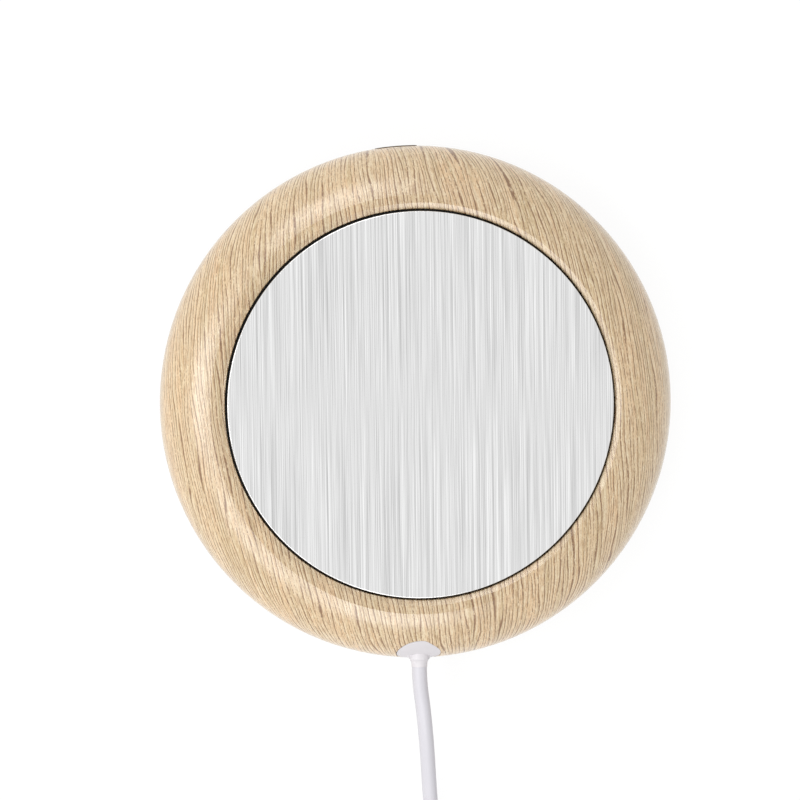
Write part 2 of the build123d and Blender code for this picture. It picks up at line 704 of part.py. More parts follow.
def make_stud_washers():
    """Four washers under the nuts."""
    top_z = PRESSURE_UNDER_Z
    washers = []
    for x, y in around(STUD_COUNT, STUD_R, DIAGONAL_DEG):
        washer = rod(WASHER_D / 2, top_z - WASHER_T, top_z, x, y)
        washers.append(washer - rod(STUD_HOLE_D / 2, top_z - 2, top_z + 1, x, y))
    return total(washers)


def make_stud_nuts():
    """Four hexagon nuts on the plate's studs."""
    nuts = []
    top_z = PRESSURE_UNDER_Z - WASHER_T
    hexagon = RegularPolygon(NUT_AF / 2, 6, major_radius=False)
    for x, y in around(STUD_COUNT, STUD_R, DIAGONAL_DEG):
        nut = Pos(x, y, NUT_UNDER_Z) * extrude(hexagon, NUT_T)
        nuts.append(nut - rod(STUD_D / 2 + SLIP, NUT_UNDER_Z - 1, top_z + 1, x, y))
    return total(nuts)


def make_thermal_cutout():
    """Flat metal-cased cut-out that lies against the film."""
    x = (-CUTOUT_L / 2, CUTOUT_L / 2)
    y = (-CUTOUT_W / 2, CUTOUT_W / 2)
    case = slab(x, y, (PRESSURE_UNDER_Z, FILM_UNDER_Z))
    return fillet(case.edges().filter_by(Axis.X), CUTOUT_EDGE)


def make_cutout_clip():
    """Flat spring strap that presses the cut-out up."""
    x = (CLIP_X - CLIP_W / 2, CLIP_X + CLIP_W / 2)
    z = (PRESSURE_UNDER_Z - CLIP_T, PRESSURE_UNDER_Z)
    clip = slab(x, (-CLIP_L / 2, CLIP_L / 2), z)
    clip = fillet(clip.edges().filter_by(Axis.Z), CLIP_CORNER)
    for y in (-RIVET_PITCH / 2, RIVET_PITCH / 2):
        clip -= rod(RIVET_D / 2 + SLIP, z[0] - 1, z[1] + 1, CLIP_X, y)
    return clip


def make_clip_rivets():
    """Two rivets through the clip and the pressure plate."""
    low_z = PRESSURE_UNDER_Z - CLIP_T
    rivets = []
    for y in (-RIVET_PITCH / 2, RIVET_PITCH / 2):
        rivet = rod(RIVET_D / 2, low_z, PAD_UNDER_Z - SLIP, CLIP_X, y)
        head = rod(RIVET_HEAD_D / 2, low_z - RIVET_HEAD_T, low_z, CLIP_X, y)
        head = fillet(head.edges().sort_by(Axis.Z)[0], RIVET_EDGE)
        rivets.append(rivet + head)
    return total(rivets)


# ------------------------------------------------------------------ cord inside, gland
def cap_bar(radius, depth):
    """Round bar along the cap's leaning axis, from a depth below the shoulder outwards."""
    turn, rise = radians(CAP_TURN_DEG), radians(CAP_RISE_DEG)
    axis = (cos(rise) * cos(turn), cos(rise) * sin(turn), sin(rise))
    middle = (CAP_X, -sqrt(CAP_MIDDLE_R**2 - CAP_X**2), CAP_MIDDLE_Z)
    seat = Plane(origin=middle, z_dir=axis).offset(-depth)
    return extrude(seat * Circle(radius), 2 * CAP_D)


def nose_section(section):
    """Circle across the cord's axis at one section of the gland's nose."""
    distance, diameter = section
    plane = Plane(origin=(CORD_X, -BODY_R - distance, GLAND_Z), z_dir=(0, -1, 0))
    return plane * Circle(diameter / 2)


def make_gland():
    """White plug in the casing's wall: cap in the shoulder, barrel, flange and nose."""
    envelope = casing_solid()
    flange_y = GLAND_BACK_Y + GLAND_FLANGE_T
    nose_root_y = -BODY_R - NOSE_BASE[0]
    body = cap_bar(CAP_D / 2, CAP_T - SLIP) & envelope
    body += level_rod(BARREL_D / 2, BARREL_FRONT_Y, GLAND_BACK_Y, CORD_X, GLAND_Z) & envelope
    body += level_rod(GLAND_FLANGE_D / 2, GLAND_BACK_Y, flange_y, CORD_X, GLAND_Z)
    body += level_rod(NOSE_BASE[1] / 2, nose_root_y, BARREL_FRONT_Y + 1, CORD_X, GLAND_Z)
    body += loft([nose_section(s) for s in (NOSE_BASE, NOSE_WAIST, NOSE_TIP)])
    return body - level_rod(CORD_R + SLIP, NOSE_TIP_Y - 1, flange_y + 1, CORD_X, GLAND_Z)


def make_cord_tail():
    """The cord from the gland's nose to just past its clamp."""
    return level_rod(CORD_R, NOSE_TIP_Y, TAIL_END_Y, CORD_X, GLAND_Z)


def make_cord_clamp():
    """Bridge that holds the cord down on the base's post."""
    half = CLAMP_W / 2
    depth = (CLAMP_Y - CLAMP_DEPTH / 2, CLAMP_Y + CLAMP_DEPTH / 2)
    x = (CORD_X - half, CORD_X + half)
    bridge = slab(x, depth, (GLAND_Z + CLAMP_SLOT / 2, BRIDGE_TOP_Z))
    bridge = fillet(bridge.edges().filter_by(Axis.Z), CLAMP_CORNER)
    bridge -= level_rod(CORD_R, depth[0] - 1, depth[1] + 1, CORD_X, GLAND_Z)
    for x in clamp_screw_places():
        hole_r = CLAMP_SCREW[0] / 2 + SEAT_GAP
        bridge -= rod(hole_r, GLAND_Z, BRIDGE_TOP_Z + 1, x, CLAMP_Y)
    return bridge


def make_clamp_screws():
    """Two screws through the bridge into the post."""
    places = clamp_screw_places()
    return total(screw(CLAMP_SCREW, x, CLAMP_Y, BRIDGE_TOP_Z, False) for x in places)


# ------------------------------------------------------------------ button and switch
def make_power_button():
    """Button whose face carries on the casing's outline, with a flange behind the wall."""
    cap = button_window(FLANGE_BACK_Y, BODY_R + 2, 0, BUTTON_CORNER)
    cap &= rod(BODY_R + BUTTON_PROUD, 0, LAND_Z)
    flange = button_window(FLANGE_BACK_Y, FLANGE_FACE_Y, BUTTON_FLANGE, BUTTON_CORNER)
    boss = level_rod(BUTTON_BOSS_D / 2, BUTTON_END_Y, FLANGE_BACK_Y, BUTTON_X, BUTTON_Z)
    half = PLUNGER_W / 2 + SLIP
    socket = slab(
        (BUTTON_X - half, BUTTON_X + half),
        (BUTTON_END_Y - 1, PLUNGER_TIP_Y + SEAT_GAP),
        (BUTTON_Z - half, BUTTON_Z + half),
    )
    return cap + flange + boss - socket


def along_switch(width, y_from, y_to):
    """Square bar along the switch's axis."""
    half = width / 2
    x = (BUTTON_X - half, BUTTON_X + half)
    z = (BUTTON_Z - half, BUTTON_Z + half)
    return slab(x, (y_from, y_to), z)


def make_switch_plunger():
    """Square stem that the button sits on, with the slider inside the case."""
    stem = along_switch(PLUNGER_W, SLIDER_FRONT_Y, PLUNGER_TIP_Y)
    return stem + along_switch(SLIDER_W, SLIDER_BACK_Y, SLIDER_FRONT_Y)


def make_contact_clips():
    """Two bronze clips that ride on the slider and bridge the pins."""
    middle_y = (SLIDER_BACK_Y + SLIDER_FRONT_Y) / 2
    y = (middle_y - CONTACT_L / 2, middle_y + CONTACT_L / 2)
    x = (BUTTON_X - CONTACT_W / 2, BUTTON_X + CONTACT_W / 2)
    clips = []
    for side in (-1, 1):
        near = BUTTON_Z + side * SLIDER_W / 2
        far = near + side * CONTACT_T
        clips.append(slab(x, y, (min(near, far), max(near, far))))
    return total(clips)


def make_switch_case():
    """Hollow case of the latching switch, open at the front for the stem."""
    case = along_switch(SWITCH_W, SWITCH_BACK_Y, SWITCH_FACE_Y)
    cavity_w = SWITCH_W - 2 * SWITCH_WALL
    case -= along_switch(cavity_w, SWITCH_BACK_Y + SWITCH_WALL, SWITCH_FACE_Y - SWITCH_WALL)
    stem_hole_w = PLUNGER_W + 2 * STEM_ROOM
    return case - along_switch(stem_hole_w, SWITCH_FACE_Y - SWITCH_WALL - 1, SWITCH_FACE_Y + 1)


def make_switch_spring():
    """Coil spring behind the slider."""
    low_y = SWITCH_BACK_Y + SWITCH_WALL + SLIP + SPRING_WIRE / 2
    high_y = SLIDER_BACK_Y - SLIP - SPRING_WIRE / 2
    length = high_y - low_y
    coil_r = (SPRING_D - SPRING_WIRE) / 2
    path = Helix(pitch=length / SPRING_COILS, height=length, radius=coil_r)
    start = Plane(origin=path @ 0, z_dir=path % 0)
    spring = sweep(start * Circle(SPRING_WIRE / 2), path, is_frenet=True)
    return Pos(BUTTON_X, high_y, BUTTON_Z) * Rot(90, 0, 0) * spring


def pin_places():
    """Middle of each of the switch's pins."""
    middle_y = (SWITCH_BACK_Y + SWITCH_FACE_Y) / 2
    columns = [PIN_PITCH_Y * (i - (PIN_COLS - 1) / 2) for i in range(PIN_COLS)]
    rows = (-PIN_ROW_X, PIN_ROW_X)
    return [(BUTTON_X + x, middle_y + y) for x in rows for y in columns]


def make_switch_pins():
    """Flat pins from the case down through the board."""
    long_side, short_side = PIN_SIZE
    z = (BOARD_UNDER_Z - PIN_PROUD, SWITCH_UNDER_Z)
    pins = []
    for x, y in pin_places():
        across = (x - short_side / 2, x + short_side / 2)
        along = (y - long_side / 2, y + long_side / 2)
        pins.append(slab(across, along, z))
    return total(pins)


def make_switch_board():
    """Small board that carries the switch on the base's posts."""
    x = (BUTTON_X - BOARD_W / 2, BUTTON_X + BOARD_W / 2)
    y = (BOARD_Y - BOARD_L / 2, BOARD_Y + BOARD_L / 2)
    board = slab(x, y, (BOARD_UNDER_Z, SWITCH_UNDER_Z))
    for px, py in pin_places():
        board -= rod(PIN_HOLE_D / 2, BOARD_UNDER_Z - 1, SWITCH_UNDER_Z + 1, px, py)
    for sx in (BUTTON_X - BOARD_SCREW_X, BUTTON_X + BOARD_SCREW_X):
        hole_r = SMALL_SCREW[0] / 2 + SEAT_GAP
        board -= rod(hole_r, BOARD_UNDER_Z - 1, SWITCH_UNDER_Z + 1, sx, BOARD_Y)
    return board


def make_board_screws():
    """Two screws that hold the board on its posts."""
    places = (BUTTON_X - BOARD_SCREW_X, BUTTON_X + BOARD_SCREW_X)
    return total(screw(SMALL_SCREW, x, BOARD_Y, SWITCH_UNDER_Z, False) for x in places)


# ------------------------------------------------------------------ leads inside
def make_lead_cord_to_heater():
    """Black lead from the cord up to the heater's outer terminal."""
    x, y = TERMINAL_X, TERMINAL_OUT_Y
    points = [
        (CORD_X + LEAD_R + SLIP, TAIL_END_Y + SLIP, GLAND_Z),
        (CORD_X + LEAD_R + SLIP, TAIL_END_Y + LEAD_D, GLAND_Z),
        (x, y - 0.6, GLAND_Z + 1.0),
        (x, y, PRESSURE_UNDER_Z - 1.5),
        (x, y, FILM_UNDER_Z - LEAD_END_GAP),
    ]
    return wire(points)


def make_lead_cord_to_switch():
    """Red lead from the cord along the base's floor to the switch board."""
    low_z = FLOOR_Z + LEAD_R + LEAD_FLOOR_GAP
    end_x = BUTTON_X - SOLDER_X
    points = [
        (CORD_X - LEAD_R - SLIP, TAIL_END_Y + SLIP, GLAND_Z),
        (CORD_X - LEAD_R - SLIP, TAIL_END_Y + LEAD_D, GLAND_Z),
        (-3.0, TAIL_END_Y + 8.0, GLAND_Z - 1.5),
        (-9.0, TAIL_END_Y + 18.0, low_z + 1.0),
        (-16.0, TAIL_END_Y + 30.0, low_z),
        (-19.0, TAIL_END_Y + 44.0, low_z + 0.2),
        (end_x - 9.0, SOLDER_Y - 12.0, low_z),
        (end_x, SOLDER_Y - 3.0, SWITCH_UNDER_Z + 2.5),
        (end_x, SOLDER_Y, SWITCH_UNDER_Z + LEAD_R + LEAD_END_GAP),
    ]
    return wire(points)


def make_lead_switch_to_cutout():
    """Red lead from the switch board up to the thermal cut-out."""
    start_x = BUTTON_X + SOLDER_X
    points = [
        (start_x, SOLDER_Y, SWITCH_UNDER_Z + LEAD_R + LEAD_END_GAP),
        (start_x + 0.5, SOLDER_Y - 3.0, SWITCH_UNDER_Z + 2.5),
        (start_x + 6.0, SOLDER_Y - 12.0, SWITCH_UNDER_Z + 3.5),
        (CUTOUT_L / 2 + 4.0, 12.0, PRESSURE_UNDER_Z - 7.0),
        (CUTOUT_L / 2 + 3.8, 3.5, PRESSURE_UNDER_Z - 3.5),
        (CUTOUT_L / 2 + 3.4, CUTOUT_PIN_Y, CUTOUT_Z),
        (CUTOUT_L / 2 + SLIP, CUTOUT_PIN_Y, CUTOUT_Z),
    ]
    return wire(points)


def make_lead_cutout_to_heater():
    """Red lead from the cut-out to the heater's inner terminal."""
    x, y = TERMINAL_X, TERMINAL_IN_Y
    points = [
        (CUTOUT_L / 2 + SLIP, -CUTOUT_PIN_Y, CUTOUT_Z),
        (CUTOUT_L / 2 + 3.4, -CUTOUT_PIN_Y - 0.2, CUTOUT_Z),
        (CUTOUT_L / 2 + 2.8, -5.0, PRESSURE_UNDER_Z - 3.4),
        (x + 3.5, y - 1.0, PRESSURE_UNDER_Z - 4.0),
        (x, y, PRESSURE_UNDER_Z - 2.6),
        (x, y, FILM_UNDER_Z - LEAD_END_GAP),
    ]
    return wire(points)


# ------------------------------------------------------------------ cord outside
# Each route starts and ends along the piece that it meets.
LEAD_ROUTE = [
    (CORD_X, NOSE_TIP_Y, GLAND_Z),
    (CORD_X, NOSE_TIP_Y - 4.1, GLAND_Z),
    (0.45, NOSE_TIP_Y - 11.2, GLAND_Z - 0.4),
    (1.5, NOSE_TIP_Y - 21.7, GLAND_Z - 3.2),
    (2.4, NOSE_TIP_Y - 33.7, COIL_LOW_Z + 4.0),
    (3.4, NOSE_TIP_Y - 44.2, COIL_LOW_Z + 0.7),
    (ENTER_X, COIL_Y + COIL_STUB + 10.0, COIL_LOW_Z),
    (ENTER_X, COIL_Y + COIL_STUB, COIL_LOW_Z),
]
# Between its third and fourth points the end passes over the lead.
END_ROUTE = [
    (COIL_X - COIL_STUB, LEAVE_Y, COIL_TOP_Z),
    (ENTER_X + 7.8, LEAVE_Y, COIL_TOP_Z),
    (ENTER_X + 2.3, LEAVE_Y - 0.3, COIL_TOP_Z + 0.8),
    (ENTER_X - 4.7, LEAVE_Y - 1.3, COIL_TOP_Z + 0.6),
    (ENTER_X - 13.7, LEAVE_Y - 3.8, PLUG_Z + 0.4),
    (ENTER_X - 20.7, LEAVE_Y - 6.7, PLUG_Z),
    (ENTER_X - 26.2, LEAVE_Y - 9.3, PLUG_Z),
]


def cord_tube(points, name):
    """Cord along a route, with its radii and its volume against section times length."""
    radii = corner_radii(points)
    path = FilletPolyline(*points, radius=radii)
    start = Plane(origin=path @ 0, z_dir=path % 0)
    cord = sweep(start * Circle(CORD_R), path)
    expected = pi * CORD_R**2 * path.length
    smallest = min(radii) / CORD_D
    print(
        f"{name}: length {path.length:.1f}, radii",
        [round(r, 1) for r in radii],
        f"smallest {smallest:.1f} diameters, volume/expected {cord.volume / expected:.4f}",
    )
    return cord


def make_cord_lead():
    """Cord from the gland's nose down to the table and to the coil."""
    return cord_tube(LEAD_ROUTE, "cord_lead")


def make_cord_end():
    """Cord from the coil to the plug."""
    return cord_tube(END_ROUTE, "cord_end")


def coil_section(skin, inward=0.0):
    """Outline of the coil's section as (radius, height), grown by a skin and inward."""
    width = COIL_R_OUT - COIL_R_IN + CORD_D + 2 * skin + inward
    height = COIL_TOP_Z - COIL_LOW_Z + CORD_D + 2 * skin
    middle = ((COIL_R_IN + COIL_R_OUT - inward) / 2, (COIL_LOW_Z + COIL_TOP_Z) / 2)
    return Pos(*middle) * RectangleRounded(width, height, COIL_CORNER + skin)


def make_cord_coil():
    """Outer shape of the coiled cord, with the stubs where it enters and leaves."""
    ring = revolve(Plane.XZ * coil_section(COIL_SKIN), axis=Axis.Z)
    ring = Pos(COIL_X, COIL_Y, 0) * ring
    entry = level_rod(CORD_R, COIL_Y + STUB_ROOT, COIL_Y + COIL_STUB, ENTER_X, COIL_LOW_Z)
    leave = Pos(COIL_X - (COIL_STUB + STUB_ROOT) / 2, LEAVE_Y, COIL_TOP_Z)
    leave = leave * Rot(0, 90, 0) * Cylinder(CORD_R, COIL_STUB - STUB_ROOT)
    mean_r = (COIL_R_IN + COIL_R_OUT) / 2
    print(f"coil: about {2 * pi * mean_r * COIL_TURNS:.0f} of cord in {COIL_TURNS} turns")
    return ring + entry + leave


def make_coil_tie():
    """Flat strap closed round the coil's section."""
    bore_r = COIL_R_IN - CORD_R - COIL_SKIN
    sag = bore_r - sqrt(bore_r**2 - (TIE_W / 2) ** 2)
    outline = coil_section(TIE_ROOM + TIE_T, sag) - coil_section(TIE_ROOM, sag)
    strap = Pos(0, TIE_W / 2, 0) * extrude(Plane.XZ * outline, TIE_W)
    return Pos(COIL_X, COIL_Y, 0) * Rot(0, 0, TIE_ANGLE) * strap


# ------------------------------------------------------------------ plug
def on_plug(shape):
    """Move a shape drawn along +X from the plug's cord end to its place."""
    x1, y1, z1 = END_ROUTE[-1]
    x0, y0, _ = END_ROUTE[-2]
    heading = degrees(atan2(y1 - y0, x1 - x0))
    return Pos(x1, y1, z1) * Rot(0, 0, heading) * shape


SHELL_FROM = PLUG_RELIEF_L + PLUG_BODY_L - SHELL_IN_BODY
SHELL_TO = PLUG_RELIEF_L + PLUG_BODY_L + SHELL_L


def plug_bar(x, width, thickness):
    """Box centred on the plug's axis between two distances from its cord end."""
    return slab(x, (-width / 2, width / 2), (-thickness / 2, thickness / 2))


def make_plug_overmould():
    """Soft moulded grip of the plug, with its tapered relief."""
    body_x = (PLUG_RELIEF_L, PLUG_RELIEF_L + PLUG_BODY_L)
    body = plug_bar(body_x, PLUG_BODY_W, PLUG_BODY_T)
    body = fillet(body.edges().filter_by(Axis.X), PLUG_BODY_EDGE)
    low = (Align.CENTER, Align.CENTER, Align.MIN)
    relief = Cone(PLUG_RELIEF_D[0] / 2, PLUG_RELIEF_D[1] / 2, PLUG_RELIEF_L, align=low)
    body += Rot(0, 90, 0) * relief
    pocket = plug_bar((SHELL_FROM - SLIP, body_x[1] + 1), SHELL_W + SEAT_GAP, SHELL_T + SEAT_GAP)
    return on_plug(body - pocket)


def make_plug_shell():
    """Metal shell of the plug with its two latch windows on each face."""
    shell = plug_bar((SHELL_FROM, SHELL_TO), SHELL_W, SHELL_T)
    shell = fillet(shell.edges().filter_by(Axis.X), SHELL_WALL)
    inner = (SHELL_W - 2 * SHELL_WALL, SHELL_T - 2 * SHELL_WALL)
    shell -= plug_bar((SHELL_FROM - 1, SHELL_TO + 1), inner[0], inner[1])
    window_x = SHELL_TO - SHELL_WINDOW_FROM_TIP
    for side in (-1, 1):
        y = side * SHELL_WINDOW_X
        across = (y - SHELL_WINDOW[1] / 2, y + SHELL_WINDOW[1] / 2)
        shell -= slab((window_x - SHELL_WINDOW[0], window_x), across, (-SHELL_T, SHELL_T))
    return on_plug(shell)


def tongue_box():
    """Distances and heights of the plug's plastic tongue."""
    low = -SHELL_T / 2 + SHELL_WALL + SLIP
    return (SHELL_FROM + SLIP, SHELL_TO - TONGUE_BACK), (low, low + TONGUE_T)


def make_plug_tongue():
    """Plastic tongue that carries the contacts, on one inner face of the shell."""
    x, z = tongue_box()
    half = SHELL_W / 2 - SHELL_WALL - SLIP
    return on_plug(slab(x, (-half, half), z))


def make_plug_contacts():
    """Four gold-plated strips on the tongue."""
    width, length, thickness = CONTACT_STRIP
    x, z = tongue_box()
    strips = []
    for i in range(CONTACT_COUNT):
        y = CONTACT_PITCH * (i - (CONTACT_COUNT - 1) / 2)
        across = (y - width / 2, y + width / 2)
        along = (x[1] - CONTACT_BACK - length, x[1] - CONTACT_BACK)
        strips.append(on_plug(slab(along, across, (z[1], z[1] + thickness))))
    return total(strips)


NODES = {
    "upper_casing": make_upper_casing,
    "base_cover": make_base_cover,
    "rubber_feet": make_rubber_feet,
    "casing_screws": make_casing_screws,
    "heating_plate": make_heating_plate,
    "plate_seal": make_plate_seal,
    "plate_carrier": make_plate_carrier,
    "carrier_screws": make_carrier_screws,
    "heater_film": make_heater_film,
    "heater_track": make_heater_track,
    "insulation_pad": make_insulation_pad,
    "pressure_plate": make_pressure_plate,
    "stud_washers": make_stud_washers,
    "stud_nuts": make_stud_nuts,
    "thermal_cutout": make_thermal_cutout,
    "cutout_clip": make_cutout_clip,
    "clip_rivets": make_clip_rivets,
    "gland": make_gland,
    "cord_tail": make_cord_tail,
    "cord_clamp": make_cord_clamp,
    "clamp_screws": make_clamp_screws,
    "power_button": make_power_button,
    "switch_plunger": make_switch_plunger,
    "contact_clips": make_contact_clips,
    "switch_case": make_switch_case,
    "switch_spring": make_switch_spring,
    "switch_pins": make_switch_pins,
    "switch_board": make_switch_board,
    "board_screws": make_board_screws,
    "lead_cord_to_heater": make_lead_cord_to_heater,
    "lead_cord_to_switch": make_lead_cord_to_switch,
    "lead_switch_to_cutout": make_lead_switch_to_cutout,
    "lead_cutout_to_heater": make_lead_cutout_to_heater,
    "cord_lead": make_cord_lead,
    "cord_coil": make_cord_coil,
    "cord_end": make_cord_end,
    "coil_tie": make_coil_tie,
    "plug_overmould": make_plug_overmould,
    "plug_shell": make_plug_shell,
    "plug_tongue": make_plug_tongue,
    "plug_contacts": make_plug_contacts,
}

os.makedirs("parts", exist_ok=True)
for node, make in NODES.items():
    export_step(make(), f"parts/{node}.step")
print(len(NODES), "nodes written")
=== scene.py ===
"""Looks of an electric mug warmer: its finishes, its cord, its plug and a plain studio."""

import logging
import math
from collections.abc import Callable, Mapping, Sequence
from dataclasses import dataclass
from enum import Enum
from typing import Any

import bpy
from mathutils import Matrix, Vector


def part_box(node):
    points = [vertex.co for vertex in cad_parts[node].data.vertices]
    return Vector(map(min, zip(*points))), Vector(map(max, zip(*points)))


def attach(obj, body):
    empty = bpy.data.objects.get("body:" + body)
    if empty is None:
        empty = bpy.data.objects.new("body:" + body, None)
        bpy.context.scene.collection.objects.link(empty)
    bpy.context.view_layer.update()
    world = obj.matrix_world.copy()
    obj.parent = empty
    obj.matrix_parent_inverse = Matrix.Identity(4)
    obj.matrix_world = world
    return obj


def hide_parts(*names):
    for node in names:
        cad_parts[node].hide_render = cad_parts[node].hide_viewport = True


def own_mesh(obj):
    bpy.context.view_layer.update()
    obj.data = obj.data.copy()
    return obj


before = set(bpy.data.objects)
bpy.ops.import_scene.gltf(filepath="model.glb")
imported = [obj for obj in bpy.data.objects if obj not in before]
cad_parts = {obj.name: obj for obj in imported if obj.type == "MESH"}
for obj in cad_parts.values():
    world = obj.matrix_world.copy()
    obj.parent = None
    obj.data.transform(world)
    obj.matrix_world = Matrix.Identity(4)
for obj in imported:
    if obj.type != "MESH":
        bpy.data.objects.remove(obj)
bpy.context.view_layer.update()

LOG = logging.getLogger("mug_warmer")
MM = 0.001
HOUSING = "housing"
# Nearly all of a noise's values lie between these.
NOISE_ENDS = {"From Min": 0.3, "From Max": 0.7}
Colour = tuple[float, float, float, float]
Point = tuple[float, float, float]
Material = bpy.types.Material
Piece = bpy.types.Object
Socket = bpy.types.NodeSocket
Tree = bpy.types.NodeTree


def linear(code: str) -> Colour:
    """Turn an sRGB hex colour into the linear colour that shaders take.

    Args:
        code: A hash and six hex digits.

    Returns:
        Red, green and blue in linear light, and an alpha of 1.
    """
    channels = []
    for i in (1, 3, 5):
        value = int(code[i : i + 2], 16) / 255
        low = value <= 0.04045
        channels.append(value / 12.92 if low else ((value + 0.055) / 1.055) ** 2.4)
    return (*channels, 1.0)


def add(
    tree: Tree, kind: str, inputs: Mapping[Any, Any], gives: int | str = 0, **settings: Any
) -> Socket:
    """Add a node with its settings, its values and its links.

    Args:
        tree: The node tree that gets the node.
        kind: Blender's name for the kind of node, without its prefix.
        inputs: Socket name or number to a value, or to the output that feeds it.
        gives: Name or number of the output wanted.
        settings: Properties of the node itself.

    Returns:
        The output wanted, or the first input of a node that has no outputs.
    """
    node = tree.nodes.new("ShaderNode" + kind)
    for name, value in settings.items():
        setattr(node, name, value)
    for socket, value in inputs.items():
        if isinstance(value, Socket):
            tree.links.new(value, node.inputs[socket])
        else:
            node.inputs[socket].default_value = value
    return node.outputs[gives] if node.outputs else node.inputs[0]


@dataclass(frozen=True)
class Finish:
    """A surface as it is made: what every finish shares.

    Attributes:
        name: Material and process.
        colour: Its colour as sRGB hex.
        roughness: Middle roughness of the surface.
        swing: How far the roughness goes up where the surface's pattern is high.
        depth_mm: Depth of that pattern.
    """

    name: str
    colour: str
    roughness: float
    swing: float = 0.04
    depth_mm: float = 0.01

    def start(self) -> tuple[Material, Mapping[str, Socket], Socket]:
        """Make the material with its shader.

        Returns:
            The material, its shader's inputs, and the place on the object in millimetres.
        """
        material = bpy.data.materials.new(self.name)
        material.use_nodes = True
        material.diffuse_color = linear(self.colour)
        tree = material.node_tree
        tree.nodes.clear()
        shaded = add(tree, "BsdfPrincipled", {"Roughness": self.roughness})
        add(tree, "OutputMaterial", {"Surface": shaded})
        metres = add(tree, "TexCoord", {}, "Object")
        place = add(tree, "VectorMath", {0: metres, "Scale": 1 / MM}, operation="SCALE")
        return material, shaded.node.inputs, place

    def roughen(self, shader: Mapping[str, Socket], pattern: Socket) -> None:
        """Let a pattern change the gloss and press it into the surface.

        Args:
            shader: The shader's inputs.
            pattern: The pattern, a noise.
        """
        tree = pattern.id_data
        ends = {"To Min": self.roughness - self.swing, "To Max": self.roughness + self.swing}
        gloss = add(tree, "MapRange", {"Value": pattern, **NOISE_ENDS, **ends})
        tree.links.new(gloss, shader["Roughness"])
        inputs = {"Height": pattern, "Distance": self.depth_mm * MM, "Strength": 1.0}
        tree.links.new(add(tree, "Bump", inputs), shader["Normal"])

    def build(self) -> Material:
        """Make the material; each kind of finish has its own."""
        raise NotImplementedError


@dataclass(frozen=True)
class Moulded(Finish):
    """Moulded plastic or rubber: an even colour with a fine spark-eroded grain.

    Attributes:
        grain_mm: Size of the tool's grain.
        mottling: How much the colour drifts from cloud to cloud, as a share.
        clouds_a_mm: Clouds of that drift for each millimetre.
        ior: Index of refraction.
    """

    grain_mm: float = 0.5
    mottling: float = 0.05
    clouds_a_mm: float = 0.12
    ior: float = 1.49

    def build(self) -> Material:
        """Make the material."""
        material, shader, place = self.start()
        tree = material.node_tree
        shader["IOR"].default_value = self.ior
        inputs = {"Vector": place, "Scale": self.clouds_a_mm, "Detail": 3.0}
        cloud = add(tree, "TexNoise", inputs)
        ends = {"To Min": 1 - self.mottling, "To Max": 1 + self.mottling}
        shade = add(tree, "MapRange", {"Value": cloud, **NOISE_ENDS, **ends})
        inputs = {0: linear(self.colour)[:3], "Scale": shade}
        tone = add(tree, "VectorMath", inputs, operation="SCALE")
        tree.links.new(tone, shader["Base Color"])
        inputs = {"Vector": place, "Scale": 1 / self.grain_mm, "Detail": 2.0}
        self.roughen(shader, add(tree, "TexNoise", inputs))
        return material


@dataclass(frozen=True)
class PlatedMetal(Finish):
    """Plated or bare metal with a soft cloudiness left by the bath or the press.

    Attributes:
        cloud_mm: Size of the clouds.
        tint: Colour of the duller clouds as sRGB hex.
        dulled: How far the clouds take that colour.
    """

    swing: float = 0.06
    depth_mm: float = 0.002
    cloud_mm: float = 3.0
    tint: str = "#8F9296"
    dulled: float = 0.15

    def build(self) -> Material:
        """Make the material."""
        material, shader, place = self.start()
        tree = material.node_tree
        shader["Metallic"].default_value = 1.0
        inputs = {"Vector": place, "Scale": 1 / self.cloud_mm, "Detail": 4.0}
        cloud = add(tree, "TexNoise", inputs)
        ends = {"From Min": 0.4, "From Max": 0.8, "To Max": self.dulled}
        share = add(tree, "MapRange", {"Value": cloud, **ends})
        inputs = {0: share, 6: linear(self.colour), 7: linear(self.tint)}
        tone = add(tree, "Mix", inputs, 2, data_type="RGBA")
        tree.links.new(tone, shader["Base Color"])
        self.roughen(shader, cloud)
        return material


